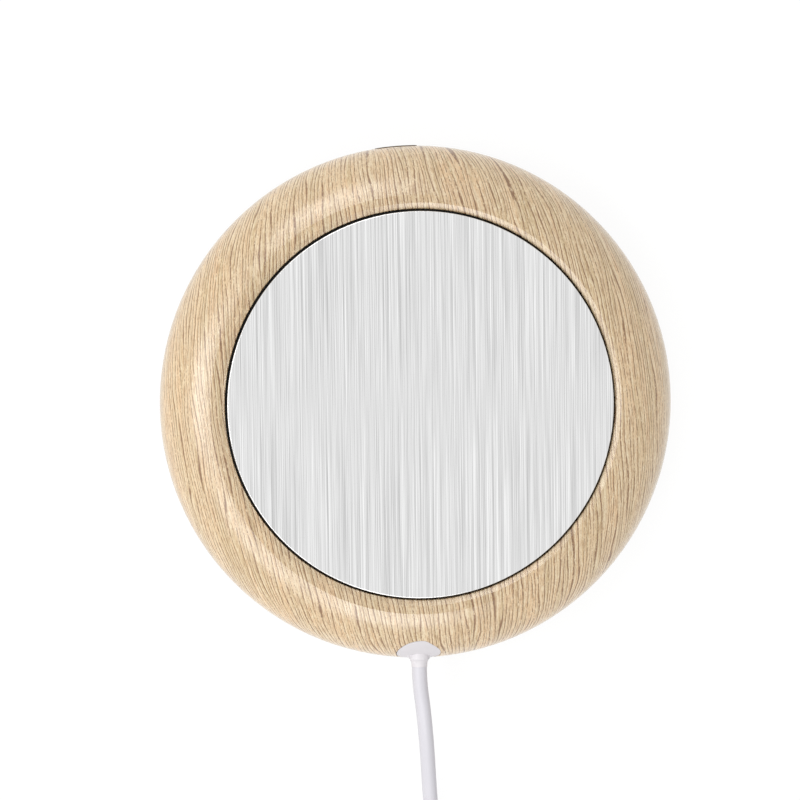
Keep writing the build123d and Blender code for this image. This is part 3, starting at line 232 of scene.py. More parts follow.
@dataclass(frozen=True)
class BrushedMetal(Finish):
    """Sheet metal with the fine lines of a brushing belt or of rolling, front to back.

    Attributes:
        line_mm: Width of a line; real ones of 0.05 mm are drawn as fine as shows.
        length_mm: Length of a line.
        contrast: How far the lines are lighter and darker, as a share.
        unevenness: How much that changes from band to band, as a share.
        bands_a_line: Bands for each line's width.
    """

    swing: float = -0.04
    depth_mm: float = 0.004
    line_mm: float = 0.25
    length_mm: float = 75.0
    contrast: float = 0.32
    unevenness: float = 0.25
    bands_a_line: float = 0.13

    def build(self) -> Material:
        """Make the material."""
        material, shader, place = self.start()
        tree = material.node_tree
        shader["Metallic"].default_value = 1.0
        across, along = 1 / self.line_mm, 1 / self.length_mm
        inputs = {0: place, 1: (across, along, across)}
        drawn = add(tree, "VectorMath", inputs, operation="MULTIPLY")
        inputs = {"Vector": drawn, "Scale": 1.0, "Detail": 3.0, "Roughness": 0.8}
        lines = add(tree, "TexNoise", inputs)
        # Bands a few lines wide are brushed a little harder than the rest.
        inputs = {"Vector": drawn, "Scale": self.bands_a_line, "Detail": 1.0}
        bands = add(tree, "TexNoise", inputs)
        low, high = ((1 + sign * self.unevenness) * self.contrast for sign in (-1, 1))
        inputs = {"Value": bands, **NOISE_ENDS, "To Min": low, "To Max": high}
        strength = add(tree, "MapRange", inputs)
        ends = {"From Min": 0.35, "From Max": 0.65, "To Min": -1.0}
        inputs = {0: add(tree, "MapRange", {"Value": lines, **ends}), 1: strength, 2: 1.0}
        shade = add(tree, "Math", inputs, operation="MULTIPLY_ADD")
        inputs = {0: linear(self.colour)[:3], "Scale": shade}
        tone = add(tree, "VectorMath", inputs, operation="SCALE")
        tree.links.new(tone, shader["Base Color"])
        self.roughen(shader, lines)
        return material


@dataclass(frozen=True)
class Shoulder:
    """Section of the casing's shoulder, part of an ellipse, in millimetres.

    Attributes:
        middle_x: Distance of the ellipse's middle from the casing's axis.
        middle_z: Height of that middle.
        half_width: Half of the ellipse's width.
        half_height: Half of its height.
        crease_r: Radius of the crease between the flat land and the shoulder.
        crease_rad: Angle of the crease on the ellipse, in radians.
        arc_r: Length of shoulder for each radian of that angle.
    """

    middle_x: float = 48.71
    middle_z: float = 10.8
    half_width: float = 16.29
    half_height: float = 13.49
    crease_r: float = 52.1
    crease_rad: float = 1.3614
    arc_r: float = 15.5


@dataclass(frozen=True)
class Pattern:
    """Noise that is drawn out along the grain.

    Attributes:
        cell_mm: Size of one wave across and along the grain.
        seat: Where in the noise it starts, so that no two patterns agree.
        detail: Levels of finer waves.
    """

    cell_mm: tuple[float, float]
    seat: float
    detail: float = 1.0


@dataclass(frozen=True)
class Ink:
    """One colour laid on smoothly with the values of a pattern: an ink of the print, and for
    the two light grain lines a painted highlight.

    Attributes:
        colour: The ink as sRGB hex.
        start: Value of the pattern where the ink begins.
        full: Value where it covers the most.
        most: How far it then covers what is below.
    """

    colour: str
    start: float
    full: float
    most: float


@dataclass(frozen=True)
class GrainRows:
    """Rows in which thin lines of grain run side by side.

    Attributes:
        width_mm: Width of a row.
        waves: Waves in which the rows wander.
        wander: How many rows they wander.
    """

    width_mm: float
    waves: Pattern
    wander: float


class Breaks(Enum):
    """What breaks up a line: values of its noise where the line is gone and where whole."""

    STRONG = (0.37, 0.5)
    WEAK = (0.6, 0.46)
    PORES = (0.42, 0.58)


@dataclass(frozen=True)
class GrainLine:
    """One thin line in each row of the grain. The dark ones are printed; the light ones beside
    them are painted highlight on the lit side of the grain's grooves.

    Attributes:
        rows: Number of the rows that it belongs to, 0 for the main and 1 for the fine ones.
        middle: Where it lies in its row, as a share.
        ink: Its ink, by the distance from that middle as a share of the row.
        breaks: What breaks it up.
    """

    rows: int
    middle: float
    ink: Ink
    breaks: Breaks


@dataclass(frozen=True)
class WoodPrint(Finish):
    """Satin moulding with a printed and lacquered wood film draped over its shoulder.

    The film is printed flat and stretched down the shoulder from the land, so its straight
    grain opens out towards the wall. Painted shade makes the print darker on the land, and
    painted light makes it lighter down the shoulder to the wall.

    Attributes:
        shoulder: Section that the film is draped over.
        lean_deg: Turn of the grain from straight front to back.
        stretch: How much more the film spreads as it goes down the shoulder.
        ink: Painted shade on the land and painted light at the wall, as shares of the print's
            colour.
        tones: Patterns of the broad tones and of the fibres, each with its inks.
        rows: The main and the fine rows of grain.
        lines: Thin lines of the grain, from the first laid to the last; the light ones are
            painted highlight beside the dark printed ones.
        breaks: Noise in which the lines start and stop.
        patches: Slow patches of quiet and of busy grain.
        patchiness: How far those patches shift that noise.
        pores: Fine dots that break up the pores' line and carry the specks.
        specks: Ink of the specks over all the rest.
        wavers: Waves that push the grain sideways, each with its furthest push in millimetres.
        film_ior: Index of refraction of the film.
        lacquer_ior: Index of refraction of the lacquer.
        lacquer_roughness: Its roughness.
    """

    swing: float = 0.03
    depth_mm: float = 0.02
    shoulder: Shoulder = Shoulder()
    lean_deg: float = 7.0
    stretch: float = 0.3
    ink: tuple[float, float] = (0.93, 1.2)
    tones: tuple[tuple[Pattern, tuple[Ink, ...]], ...] = (
        (Pattern((4.0, 60.0), 11.7, 2.0), (Ink("#E0BE92", 0.4, 0.6, 0.9),)),
        (Pattern((1.7, 30.0), 5.3, 2.0), (Ink("#CDB387", 0.46, 0.64, 0.9),)),
        (
            Pattern((0.36, 2.6), 21.3, 2.0),
            (Ink("#EEDDBB", 0.46, 0.34, 0.6), Ink("#966D42", 0.54, 0.66, 0.5)),
        ),
    )
    rows: tuple[GrainRows, GrainRows] = (
        GrainRows(1.2, Pattern((3.4, 30.0), 8.9), 3.0),
        GrainRows(0.75, Pattern((2.2, 14.0), 2.3), 2.2),
    )
    lines: tuple[GrainLine, ...] = (
        # Painted highlight: the two light lines lie just to the right of the dark ones, where
        # the grooves' walls face the light from the left.
        GrainLine(0, 0.52, Ink("#EEDDBB", 0.22, 0.055, 0.5), Breaks.STRONG),
        GrainLine(1, 0.55, Ink("#EEDDBB", 0.24, 0.06, 0.35), Breaks.WEAK),
        GrainLine(1, 0.24, Ink("#966D42", 0.2, 0.05, 0.4), Breaks.WEAK),
        GrainLine(0, 0.24, Ink("#8E673C", 0.17, 0.0425, 1.0), Breaks.STRONG),
        GrainLine(0, 0.22, Ink("#6C4828", 0.14, 0.035, 0.9), Breaks.PORES),
    )
    breaks: Pattern = Pattern((0.6, 2.4), 14.2, 2.0)
    patches: Pattern = Pattern((4.5, 11.0), 31.7)
    patchiness: float = 0.13
    pores: Pattern = Pattern((0.22, 0.7), 17.9)
    specks: Ink = Ink("#966D42", 0.54, 0.68, 0.4)
    wavers: tuple[tuple[Pattern, float], ...] = (
        (Pattern((6.0, 26.0), 3.1), 0.7),
        (Pattern((0.9, 1.3), 7.7), 0.12),
    )
    film_ior: float = 1.5
    lacquer_ior: float = 1.6
    lacquer_roughness: float = 0.26

    def film_place(self, place: Socket) -> tuple[Socket, Socket]:
        """Find where a point of the casing was on the flat film.

        Args:
            place: The point on the object, in millimetres.

        Returns:
            Output with the place across and along the grain, in millimetres of film, and output
            with the painted shade of the land and the painted light of the shoulder there.
        """
        form, tree = self.shoulder, place.id_data
        x = add(tree, "SeparateXYZ", {0: place}, "X")
        y, z = (x.node.outputs[name] for name in "YZ")
        known = {"x": x, "y": y, "z": z}
        steps = (
            ("xx", "MULTIPLY", "x", "x"),
            ("yy", "MULTIPLY", "y", "y"),
            ("square", "ADD", "xx", "yy"),
            ("radius", "SQRT", "square", 0.0),
            ("height", "SUBTRACT", "z", form.middle_z),
            ("rise", "DIVIDE", "height", form.half_height),
            ("out", "SUBTRACT", "radius", form.middle_x),
            ("reach", "DIVIDE", "out", form.half_width),
            ("angle", "ARCTAN2", "rise", "reach"),
            ("past", "SUBTRACT", form.crease_rad, "angle"),
            ("fall", "MULTIPLY", "past", form.arc_r),
            ("draped", "ADD", "fall", form.crease_r),
            ("share", "DIVIDE", "draped", form.crease_r),
            ("spread", "POWER", "share", self.stretch),
            ("wide", "MULTIPLY", "draped", "spread"),
            ("growth", "DIVIDE", "wide", "radius"),
        )
        for name, operation, *terms in steps:
            inputs = {i: known.get(term, term) for i, term in enumerate(terms)}
            known[name] = add(tree, "Math", inputs, operation=operation)
        ring = add(tree, "CombineXYZ", {0: x, 1: y})
        inputs = {0: ring, "Scale": known["growth"]}
        flat = add(tree, "VectorMath", inputs, operation="SCALE")
        inputs = {"Vector": flat, "Angle": -math.radians(self.lean_deg)}
        turned = add(tree, "VectorRotate", inputs, rotation_type="Z_AXIS")
        # Painted shade on the land turns into painted light down the shoulder, from a
        # millimetre inside the crease.
        ends = {"From Min": form.crease_r - 1.0, "From Max": form.crease_r + form.arc_r}
        ends |= {"To Min": self.ink[0], "To Max": self.ink[1]}
        return turned, add(tree, "MapRange", {"Value": known["draped"], **ends})

    def drawn_noise(self, film: Socket, pattern: Pattern) -> Socket:
        """Make noise that is drawn out along the grain.

        Args:
            film: Place on the film.
            pattern: What it is like.

        Returns:
            Output with the noise.
        """
        tree = film.id_data
        across, along = pattern.cell_mm
        seat = (pattern.seat, pattern.seat * 0.7, pattern.seat)
        inputs = {0: film, 1: (1 / across, 1 / along, 1.0), 2: seat}
        drawn = add(tree, "VectorMath", inputs, operation="MULTIPLY_ADD")
        inputs = {"Vector": drawn, "Scale": 1.0, "Detail": pattern.detail}
        return add(tree, "TexNoise", inputs)

    def waver(self, film: Socket, waves: Pattern, reach_mm: float) -> Socket:
        """Push the grain sideways by a slow noise.

        Args:
            film: Place on the film.
            waves: The noise.
            reach_mm: Furthest push to either side.

        Returns:
            Output with the new place on the film.
        """
        tree = film.id_data
        wave = self.drawn_noise(film, waves)
        inputs = {"Value": wave, "To Min": -reach_mm, "To Max": reach_mm}
        sideways = add(tree, "CombineXYZ", {0: add(tree, "MapRange", inputs)})
        return add(tree, "VectorMath", {0: film, 1: sideways}, operation="ADD")

    def count_rows(self, film: Socket, rows: GrainRows) -> Socket:
        """Count from 0 to 1 across each row of grain.

        Args:
            film: Place on the film.
            rows: The rows.

        Returns:
            Output with the count.
        """
        tree = film.id_data
        across = add(tree, "SeparateXYZ", {0: film}, "X")
        count = add(tree, "Math", {0: across, 1: 1 / rows.width_mm}, operation="MULTIPLY")
        inputs = {0: self.drawn_noise(film, rows.waves), 1: rows.wander, 2: count}
        count = add(tree, "Math", inputs, operation="MULTIPLY_ADD")
        return add(tree, "Math", {0: count}, operation="FRACT")

    def break_lines(self, film: Socket, breaks: Socket, pores: Socket) -> dict[Breaks, Socket]:
        """Find where the lines of grain are whole, in patches of quiet and busy grain.

        Args:
            film: Place on the film.
            breaks: Noise in which the lines start and stop.
            pores: Noise of the fine dots.

        Returns:
            For each way of breaking up, an output that is 1 where a line is whole.
        """
        tree = film.id_data
        patches = self.drawn_noise(film, self.patches)
        ends = {**NOISE_ENDS, "To Min": -self.patchiness, "To Max": self.patchiness}
        inputs = {0: breaks, 1: add(tree, "MapRange", {"Value": patches, **ends})}
        noises = {
            Breaks.STRONG: add(tree, "Math", inputs, operation="ADD"),
            Breaks.WEAK: add(tree, "Math", inputs, operation="SUBTRACT"),
            Breaks.PORES: pores,
        }
        whole = {}
        for kind, noise in noises.items():
            inputs = {"Value": noise, "From Min": kind.value[0], "From Max": kind.value[1]}
            whole[kind] = add(tree, "MapRange", inputs, interpolation_type="SMOOTHSTEP")
        return whole

    def print_grain(self, film: Socket, breaks: Socket) -> Socket:
        """Print the tones, then the lines with their painted highlights, then the specks.

        Args:
            film: Place on the film.
            breaks: Noise in which the lines start and stop.

        Returns:
            Output with the colour.
        """
        tree = film.id_data
        pores = self.drawn_noise(film, self.pores)
        counts = [self.count_rows(film, rows) for rows in self.rows]
        whole = self.break_lines(film, breaks, pores)
        layers = []
        for pattern, inks in self.tones:
            noise = self.drawn_noise(film, pattern)
            layers += [(ink, noise, 1.0) for ink in inks]
        for line in self.lines:
            inputs = {0: counts[line.rows], 1: line.middle}
            off = add(tree, "Math", inputs, operation="SUBTRACT")
            off = add(tree, "Math", {0: off}, operation="ABSOLUTE")
            layers.append((line.ink, off, whole[line.breaks]))
        layers.append((self.specks, pores, 1.0))
        tone: Any = linear(self.colour)
        for ink, pattern, kept in layers:
            inputs = {"Value": pattern, "From Min": ink.start, "From Max": ink.full}
            inputs["To Max"] = ink.most
            share = add(tree, "MapRange", inputs, interpolation_type="SMOOTHSTEP")
            share = add(tree, "Math", {0: share, 1: kept}, operation="MULTIPLY")
            inputs = {0: share, 6: tone, 7: linear(ink.colour)}
            tone = add(tree, "Mix", inputs, 2, data_type="RGBA")
        return tone

    def build(self) -> Material:
        """Make the material."""
        material, shader, place = self.start()
        tree = material.node_tree
        shader["IOR"].default_value = self.film_ior
        shader["Coat Weight"].default_value = 1.0
        shader["Coat Roughness"].default_value = self.lacquer_roughness
        shader["Coat IOR"].default_value = self.lacquer_ior
        film, ink = self.film_place(place)
        for waves, reach_mm in self.wavers:
            film = self.waver(film, waves, reach_mm)
        breaks = self.drawn_noise(film, self.breaks)
        # The print is scaled by the painted shade of the land and the painted light of the
        # shoulder.
        inputs = {0: self.print_grain(film, breaks), "Scale": ink}
        tone = add(tree, "VectorMath", inputs, operation="SCALE")
        tree.links.new(tone, shader["Base Color"])
        self.roughen(shader, breaks)
        return material


def dress(finish: Finish, *nodes: str) -> None:
    """Give CAD pieces a finish.

    Args:
        finish: What they are made of and how.
        nodes: Names of the pieces.
    """
    material = finish.build()
    for name in nodes:
        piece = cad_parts[name]
        if piece.material_slots:
            for slot in piece.material_slots:
                slot.material = material
        else:
            piece.data.materials.append(material)
        LOG.info("%s: %s", name, finish.name)


def modify(piece: Piece, kind: str, **settings: Any) -> None:
    """Apply a modifier.

    Args:
        piece: The piece, the active object.
        kind: Blender's name for the kind of modifier.
        settings: Its settings.
    """
    modifier = piece.modifiers.new("shaping", kind)
    for name, value in settings.items():
        setattr(modifier, name, value)
    bpy.ops.object.modifier_apply(modifier=modifier.name)


@dataclass(frozen=True)
class CameraStand:
    """Camera almost straight above the warmer, leaning towards its upper left.

    Attributes:
        place: Where the lens is, in millimetres.
        aim: The point that it looks at, in millimetres.
        roll_deg: Turn of the camera about its own axis.
        focal_px: Focal length in pixels of the image.
        image_px: Width of that image.
        sensor_mm: Width of the sensor.
        near: Distance from which it sees, in metres.
    """

    place: Point = (-44.19, 27.01, 550.0)
    aim: Point = (-4.44, 0.81, 12.0)
    roll_deg: float = -0.9
    focal_px: float = 2132.6
    image_px: int = 800
    sensor_mm: float = 36.0
    near: float = 0.01

    def build(self) -> None:
        """Put up the camera and make it the scene's."""
        data = bpy.data.cameras.new("camera")
        data.sensor_width = self.sensor_mm
        data.lens = self.focal_px / self.image_px * self.sensor_mm
        data.clip_start = self.near
        stand = bpy.data.objects.new("camera", data)
        bpy.context.scene.collection.objects.link(stand)
        place = Vector(self.place) * MM
        back = (place - Vector(self.aim) * MM).normalized()
        roll = math.radians(self.roll_deg)
        right = Vector((math.cos(roll), math.sin(roll), 0)).cross(back)
        right = back.cross(right).normalized()
        turn = Matrix((right, back.cross(right), back)).transposed()
        stand.matrix_world = Matrix.Translation(place) @ turn.to_4x4()
        bpy.context.scene.camera = stand
        LOG.info("camera: %.0f mm lens", data.lens)


@dataclass(frozen=True)
class Jacket:
    """The soft white plastic of the cord and of its plug's grip.

    Attributes:
        cord: As it comes off the extruder.
        grip: As it comes out of the mould.
    """

    cord: Moulded = Moulded(
        "soft pvc, extruded", "#DBD9DF", 0.4, grain_mm=1.4, mottling=0.015
    )
    grip: Moulded = Moulded(
        "soft pvc, spark-eroded", "#DBD9DF", 0.5, depth_mm=0.02, mottling=0.02
    )


@dataclass(frozen=True)
class Plug:
    """Plug on the cord's end: soft grip with its relief, metal shell, tongue and contacts.

    Sizes in millimetres; lengths run along the plug from its cord end.

    Attributes:
        place: The cord end of the plug.
        heading: Which way the plug points, in radians from x.
        grip: Where the grip starts and ends.
        width: Width of the grip.
        thickness: Its thickness.
        edge: Rounding of its long edges.
        rings: Middles of the rings round the grip, for the fingers.
        ring: Width and depth of a ring.
        relief_r: Radius of the relief at the cord and at the grip.
        notches: Middles of the notches round the relief, which let it bend.
        notch: Width and depth of a notch.
        pocket: Start, width and thickness of the pocket for the shell.
        soft_edge: Rounding of every other edge.
        sharp_deg: Least angle at which an edge is rounded.
        smooth_deg: Largest angle over which the surface is shaded as smooth.
        relief_sides: Sides of the relief's section.
    """

    place: Point
    heading: float
    grip: tuple[float, float] = (8.0, 30.0)
    width: float = 15.4
    thickness: float = 8.0
    edge: float = 1.6
    rings: tuple[float, ...] = (12.0, 14.2, 16.4, 18.6)
    ring: tuple[float, float] = (1.0, 0.45)
    relief_r: tuple[float, float] = (2.3, 3.2)
    notches: tuple[float, ...] = (1.9, 4.0, 6.1)
    notch: tuple[float, float] = (0.9, 0.45)
    pocket: Point = (26.0, 12.05, 4.55)
    soft_edge: float = 0.15
    sharp_deg: float = 40.0
    smooth_deg: float = 35.0
    relief_sides: int = 48

    def pick(self, piece: Piece, test: Callable[[Vector], bool]) -> None:
        """Select the faces whose middles pass a test, and nothing else, in edit mode.

        Args:
            piece: The piece being edited.
            test: Says whether a face with this middle is wanted.
        """
        bpy.ops.mesh.select_mode(type="FACE")
        bpy.ops.mesh.select_all(action="DESELECT")
        bpy.ops.object.mode_set(mode="OBJECT")
        for face in piece.data.polygons:
            face.select = test(face.center / MM)
        bpy.ops.object.mode_set(mode="EDIT")

    def sink(self, piece: Piece, middles: Sequence[float], size: tuple[float, float]) -> None:
        """Sink grooves all round a bar that lies along x.

        Args:
            piece: The bar, in edit mode.
            middles: Where the grooves are.
            size: Width and depth of a groove.
        """
        for middle in middles:
            low, high = middle - size[0] / 2, middle + size[0] / 2
            for x in (low, high):
                bpy.ops.mesh.select_all(action="SELECT")
                bpy.ops.mesh.bisect(plane_co=(x * MM, 0, 0), plane_no=(1, 0, 0))
            self.pick(piece, lambda at, low=low, high=high: low < at.x < high)
            bpy.ops.mesh.extrude_region_shrink_fatten(
                TRANSFORM_OT_shrink_fatten={"value": -size[1] * MM, "use_even_offset": True}
            )

    def bar(self, span: tuple[float, float], width: float, thickness: float) -> Piece:
        """Add a box along x.

        Args:
            span: Where it starts and ends.
            width: Its size along y.
            thickness: Its size along z.

        Returns:
            The box, unscaled, with its place in its mesh.
        """
        bpy.ops.mesh.primitive_cube_add(size=1.0, location=(sum(span) / 2 * MM, 0, 0))
        piece = bpy.context.object
        piece.scale = ((span[1] - span[0]) * MM, width * MM, thickness * MM)
        bpy.ops.object.transform_apply()
        return piece

    def soften(self, piece: Piece) -> None:
        """Round a piece's sharp edges."""
        limit = math.radians(self.sharp_deg)
        soft = {"width": self.soft_edge * MM, "segments": 2, "angle_limit": limit}
        modify(piece, "BEVEL", limit_method="ANGLE", **soft)

    def build_grip(self) -> Piece:
        """Model the grip: a rounded bar with rings and the shell's pocket.

        Returns:
            The grip.
        """
        cutter = self.bar((self.pocket[0], self.grip[1] + 1), *self.pocket[1:])
        grip = self.bar(self.grip, self.width, self.thickness)
        bpy.ops.object.mode_set(mode="EDIT")
        bpy.ops.mesh.select_mode(type="EDGE")
        bpy.ops.mesh.select_all(action="DESELECT")
        bpy.ops.object.mode_set(mode="OBJECT")
        for edge in grip.data.edges:
            ends = [grip.data.vertices[i].co.x for i in edge.vertices]
            edge.select = abs(ends[0] - ends[1]) > MM
        bpy.ops.object.mode_set(mode="EDIT")
        bpy.ops.mesh.bevel(offset=self.edge * MM, segments=6)
        self.sink(grip, self.rings, self.ring)
        bpy.ops.object.mode_set(mode="OBJECT")
        self.soften(grip)
        modify(grip, "BOOLEAN", object=cutter, operation="DIFFERENCE", solver="EXACT")
        bpy.data.objects.remove(cutter)
        return grip

    def build_relief(self) -> Piece:
        """Model the tapered relief with its notches.

        Returns:
            The relief.
        """
        length = self.grip[0]
        bpy.ops.mesh.primitive_cone_add(
            vertices=self.relief_sides,
            radius1=self.relief_r[0] * MM,
            radius2=self.relief_r[1] * MM,
            depth=length * MM,
            location=(length / 2 * MM, 0, 0),
            rotation=(0, math.pi / 2, 0),
        )
        relief = bpy.context.object
        bpy.ops.object.transform_apply()
        bpy.ops.object.mode_set(mode="EDIT")
        self.sink(relief, self.notches, self.notch)
        bpy.ops.object.mode_set(mode="OBJECT")
        self.soften(relief)
        return relief

    def build(self) -> Piece:
        """Model the grip and its relief as one piece, and put it on the cord's end.

        Returns:
            The piece.
        """
        bpy.ops.object.select_all(action="DESELECT")
        relief = self.build_relief()
        bpy.ops.object.select_all(action="DESELECT")
        piece = self.build_grip()
        relief.select_set(True)
        bpy.ops.object.join()
        bpy.ops.object.mode_set(mode="EDIT")
        bpy.ops.mesh.select_all(action="SELECT")
        bpy.ops.mesh.normals_make_consistent(inside=False)
        bpy.ops.object.mode_set(mode="OBJECT")
        piece.location = Vector(self.place) * MM
        piece.rotation_euler = (0, 0, self.heading)
        bpy.ops.object.transform_apply()
        bpy.ops.object.shade_smooth_by_angle(angle=math.radians(self.smooth_deg))
        piece.name = "plug_grip"
        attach(piece, HOUSING)
        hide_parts("plug_overmould")
        LOG.info("plug_grip: %d faces", len(piece.data.polygons))
        return piece

    def dress(self, grip: Piece) -> None:
        """Give the plug's pieces their finishes.

        Args:
            grip: The grip.
        """
        # Soft PVC from a spark-eroded tool: as white as the cord, and duller.
        grip.data.materials.append(Jacket().grip.build())
        # Drawn steel, nickel plated: bright, a little warm, with faint clouds.
        shell = PlatedMetal("steel shell, nickel plated", "#D9DADC", 0.22, dulled=0.05)
        dress(shell, "plug_shell")
        # Moulded ABS: plain white with a dull shine.
        dress(Moulded("abs, moulded white", "#F0F0EC", 0.45), "plug_tongue")
        # Gold flash over bronze: yellow, darker where it is thin.
        gilt = {"tint": "#B98F45", "dulled": 0.25}
        gold = PlatedMetal("bronze contacts, gold flashed", "#E8C56A", 0.2, **gilt)
        dress(gold, "plug_contacts")


@dataclass(frozen=True)
class Cord:
    """The soft white lead from the gland to its plug, with its spare length coiled.

    Attributes:
        radius: Half of its thickness, in metres.
        length: Its real length outside the casing, in metres; not used.
        coil_middle: Middle of the coil, in millimetres, as all that follow.
        coil_r: Radius of the coil's innermost and outermost turn.
        coil_z: Height of its lower and its upper layer.
        coil_turns: Turns in both layers together.
        steps_a_turn: Points for each turn.
        fineness: Steps from point to point, and from side to side of its section.
        lead: Route from the gland's nose to the coil.
        end: Route from the coil to the plug.
    """

    radius: float = 0.0019
    length: float = 1.25
    coil_middle: tuple[float, float] = (33.0, -148.0)
    coil_r: tuple[float, float] = (11.6, 28.794)
    coil_z: tuple[float, float] = (2.4, 6.25)
    coil_turns: float = 8.75
    steps_a_turn: int = 16
    fineness: int = 6
    lead: tuple[Point, ...] = (
        (-0.5, -66.8, 14.3),
        (-0.5, -70.9, 14.3),
        (0.45, -78.0, 13.9),
        (1.5, -88.5, 11.1),
        (2.4, -100.5, 6.4),
        (3.4, -111.0, 3.1),
        (4.206, -122.0, 2.4),
        (4.206, -132.0, 2.4),
    )
    end: tuple[Point, ...] = (
        (17.0, -119.206, 6.25),
        (12.006, -119.206, 6.25),
        (6.506, -119.506, 7.05),
        (-0.494, -120.506, 6.85),
        (-9.494, -123.006, 4.4),
        (-16.494, -125.906, 4.0),
        (-21.994, -128.506, 4.0),
    )

    def turns(self) -> list[Point]:
        """Route of the coil: in on the lower layer, up, and out again on the upper one.

        Returns:
            Points in millimetres, each outside the arc that the cord takes by it.
        """
        step = math.tau / self.steps_a_turn
        half = self.coil_turns * math.pi
        (r_in, r_out), (z_low, z_top) = self.coil_r, self.coil_z
        points = []
        for i in range(round(2 * half / step)):
            gone = (i + 0.5) * step
            share = abs(gone - half) / half
            radius = (r_in + share * (r_out - r_in)) / math.cos(step / 2)
            climb = min(max((gone - half) / math.pi + 0.5, 0.0), 1.0)
            climb = climb * climb * (3 - 2 * climb)
            x = self.coil_middle[0] + radius * math.cos(math.pi + gone)
            y = self.coil_middle[1] + radius * math.sin(math.pi + gone)
            points.append((x, y, z_low + climb * (z_top - z_low)))
        return points

    def build(self) -> Piece:
        """Lay the cord.

        Returns:
            The cord, a curve of one spline.
        """
        data = bpy.data.curves.new("cord", "CURVE")
        data.dimensions = "3D"
        data.resolution_u = self.fineness
        # Each point's radius gives the cord's, so this is 1.
        data.bevel_depth = 1.0
        data.bevel_resolution = self.fineness
        data.use_fill_caps = True
        spline = data.splines.new("NURBS")
        route = [*self.lead, *self.turns(), *self.end]
        spline.points.add(len(route) - 1)
        for point, place in zip(spline.points, route):
            point.co = (*(Vector(place) * MM), 1.0)
            point.radius = self.radius
        spline.order_u = 3
        spline.use_endpoint_u = True
        cord = bpy.data.objects.new("cord", data)
        bpy.context.scene.collection.objects.link(cord)
        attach(cord, HOUSING)
        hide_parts("cord_lead", "cord_coil", "cord_end")
        LOG.info("cord: %d points", len(route))
        return cord

    def plug(self) -> Plug:
        """Plug that carries on from the cord's last run."""
        along = Vector(self.end[-1]) - Vector(self.end[-2])
        return Plug(self.end[-1], math.atan2(along.y, along.x))

    def dress(self, cord: Piece) -> None:
        """Give the cord, its gland and its tie their finishes.

        Args:
            cord: The cord.
        """
        # Extruded PVC: an even satin white, a little blue, that a low light shows as uneven.
        cord.data.materials.append(Jacket().cord.build())
        dress(Jacket().cord, "cord_tail")
        # Moulded PVC: the same white, a little lighter and duller.
        dress(Moulded("soft pvc, moulded white", "#E4E0E3", 0.45, mottling=0.02), "gland")
        # Woven nylon: dull, with threads that show as a fine roughness.
        strap = Moulded("nylon strap, woven", "#D9D9D6", 0.7, grain_mm=0.4, depth_mm=0.03)
        dress(strap, "coil_tie")


@dataclass(frozen=True)
class Casing:
    """Wood-look ring, dark base, feet and screws.

    Attributes:
        shoulder: Section of the ring's shoulder.
        base_grain_mm: Grain of the base's tool.
        foot_grain_mm: Grain of the feet.
    """

    shoulder: Shoulder = Shoulder()
    base_grain_mm: float = 0.7
    foot_grain_mm: float = 0.6

    def dress(self) -> None:
        """Give the casing's pieces their finishes."""
        # Printed film under clear lacquer: pale oak with a soft, broad shine.
        film = "wood film on abs, lacquered"
        dress(WoodPrint(film, "#DCC199", 0.38, shoulder=self.shoulder), "upper_casing")
        # ABS from a spark-eroded tool: almost black, brownish, with a dry sparkle.
        grain = {"grain_mm": self.base_grain_mm, "depth_mm": 0.03}
        dress(Moulded("abs, spark-eroded dark brown", "#3A3128", 0.5, **grain), "base_cover")
        # Pressed rubber: matt and grey black.
        grain = {"grain_mm": self.foot_grain_mm, "depth_mm": 0.02}
        dress(Moulded("rubber, pressed", "#2B2B2B", 0.8, **grain), "rubber_feet")
        # Zinc plating: a cool light grey with clouds.
        zinc = PlatedMetal("steel screws, zinc plated", "#C6C8CC", 0.28)
        kinds = ("casing_screws", "carrier_screws", "clamp_screws", "board_screws", "stud_nuts")
        dress(zinc, *kinds)
        # Moulded nylon: black with a dull shine.
        dress(Moulded("nylon, moulded black", "#1E1E1E", 0.5), "cord_clamp")


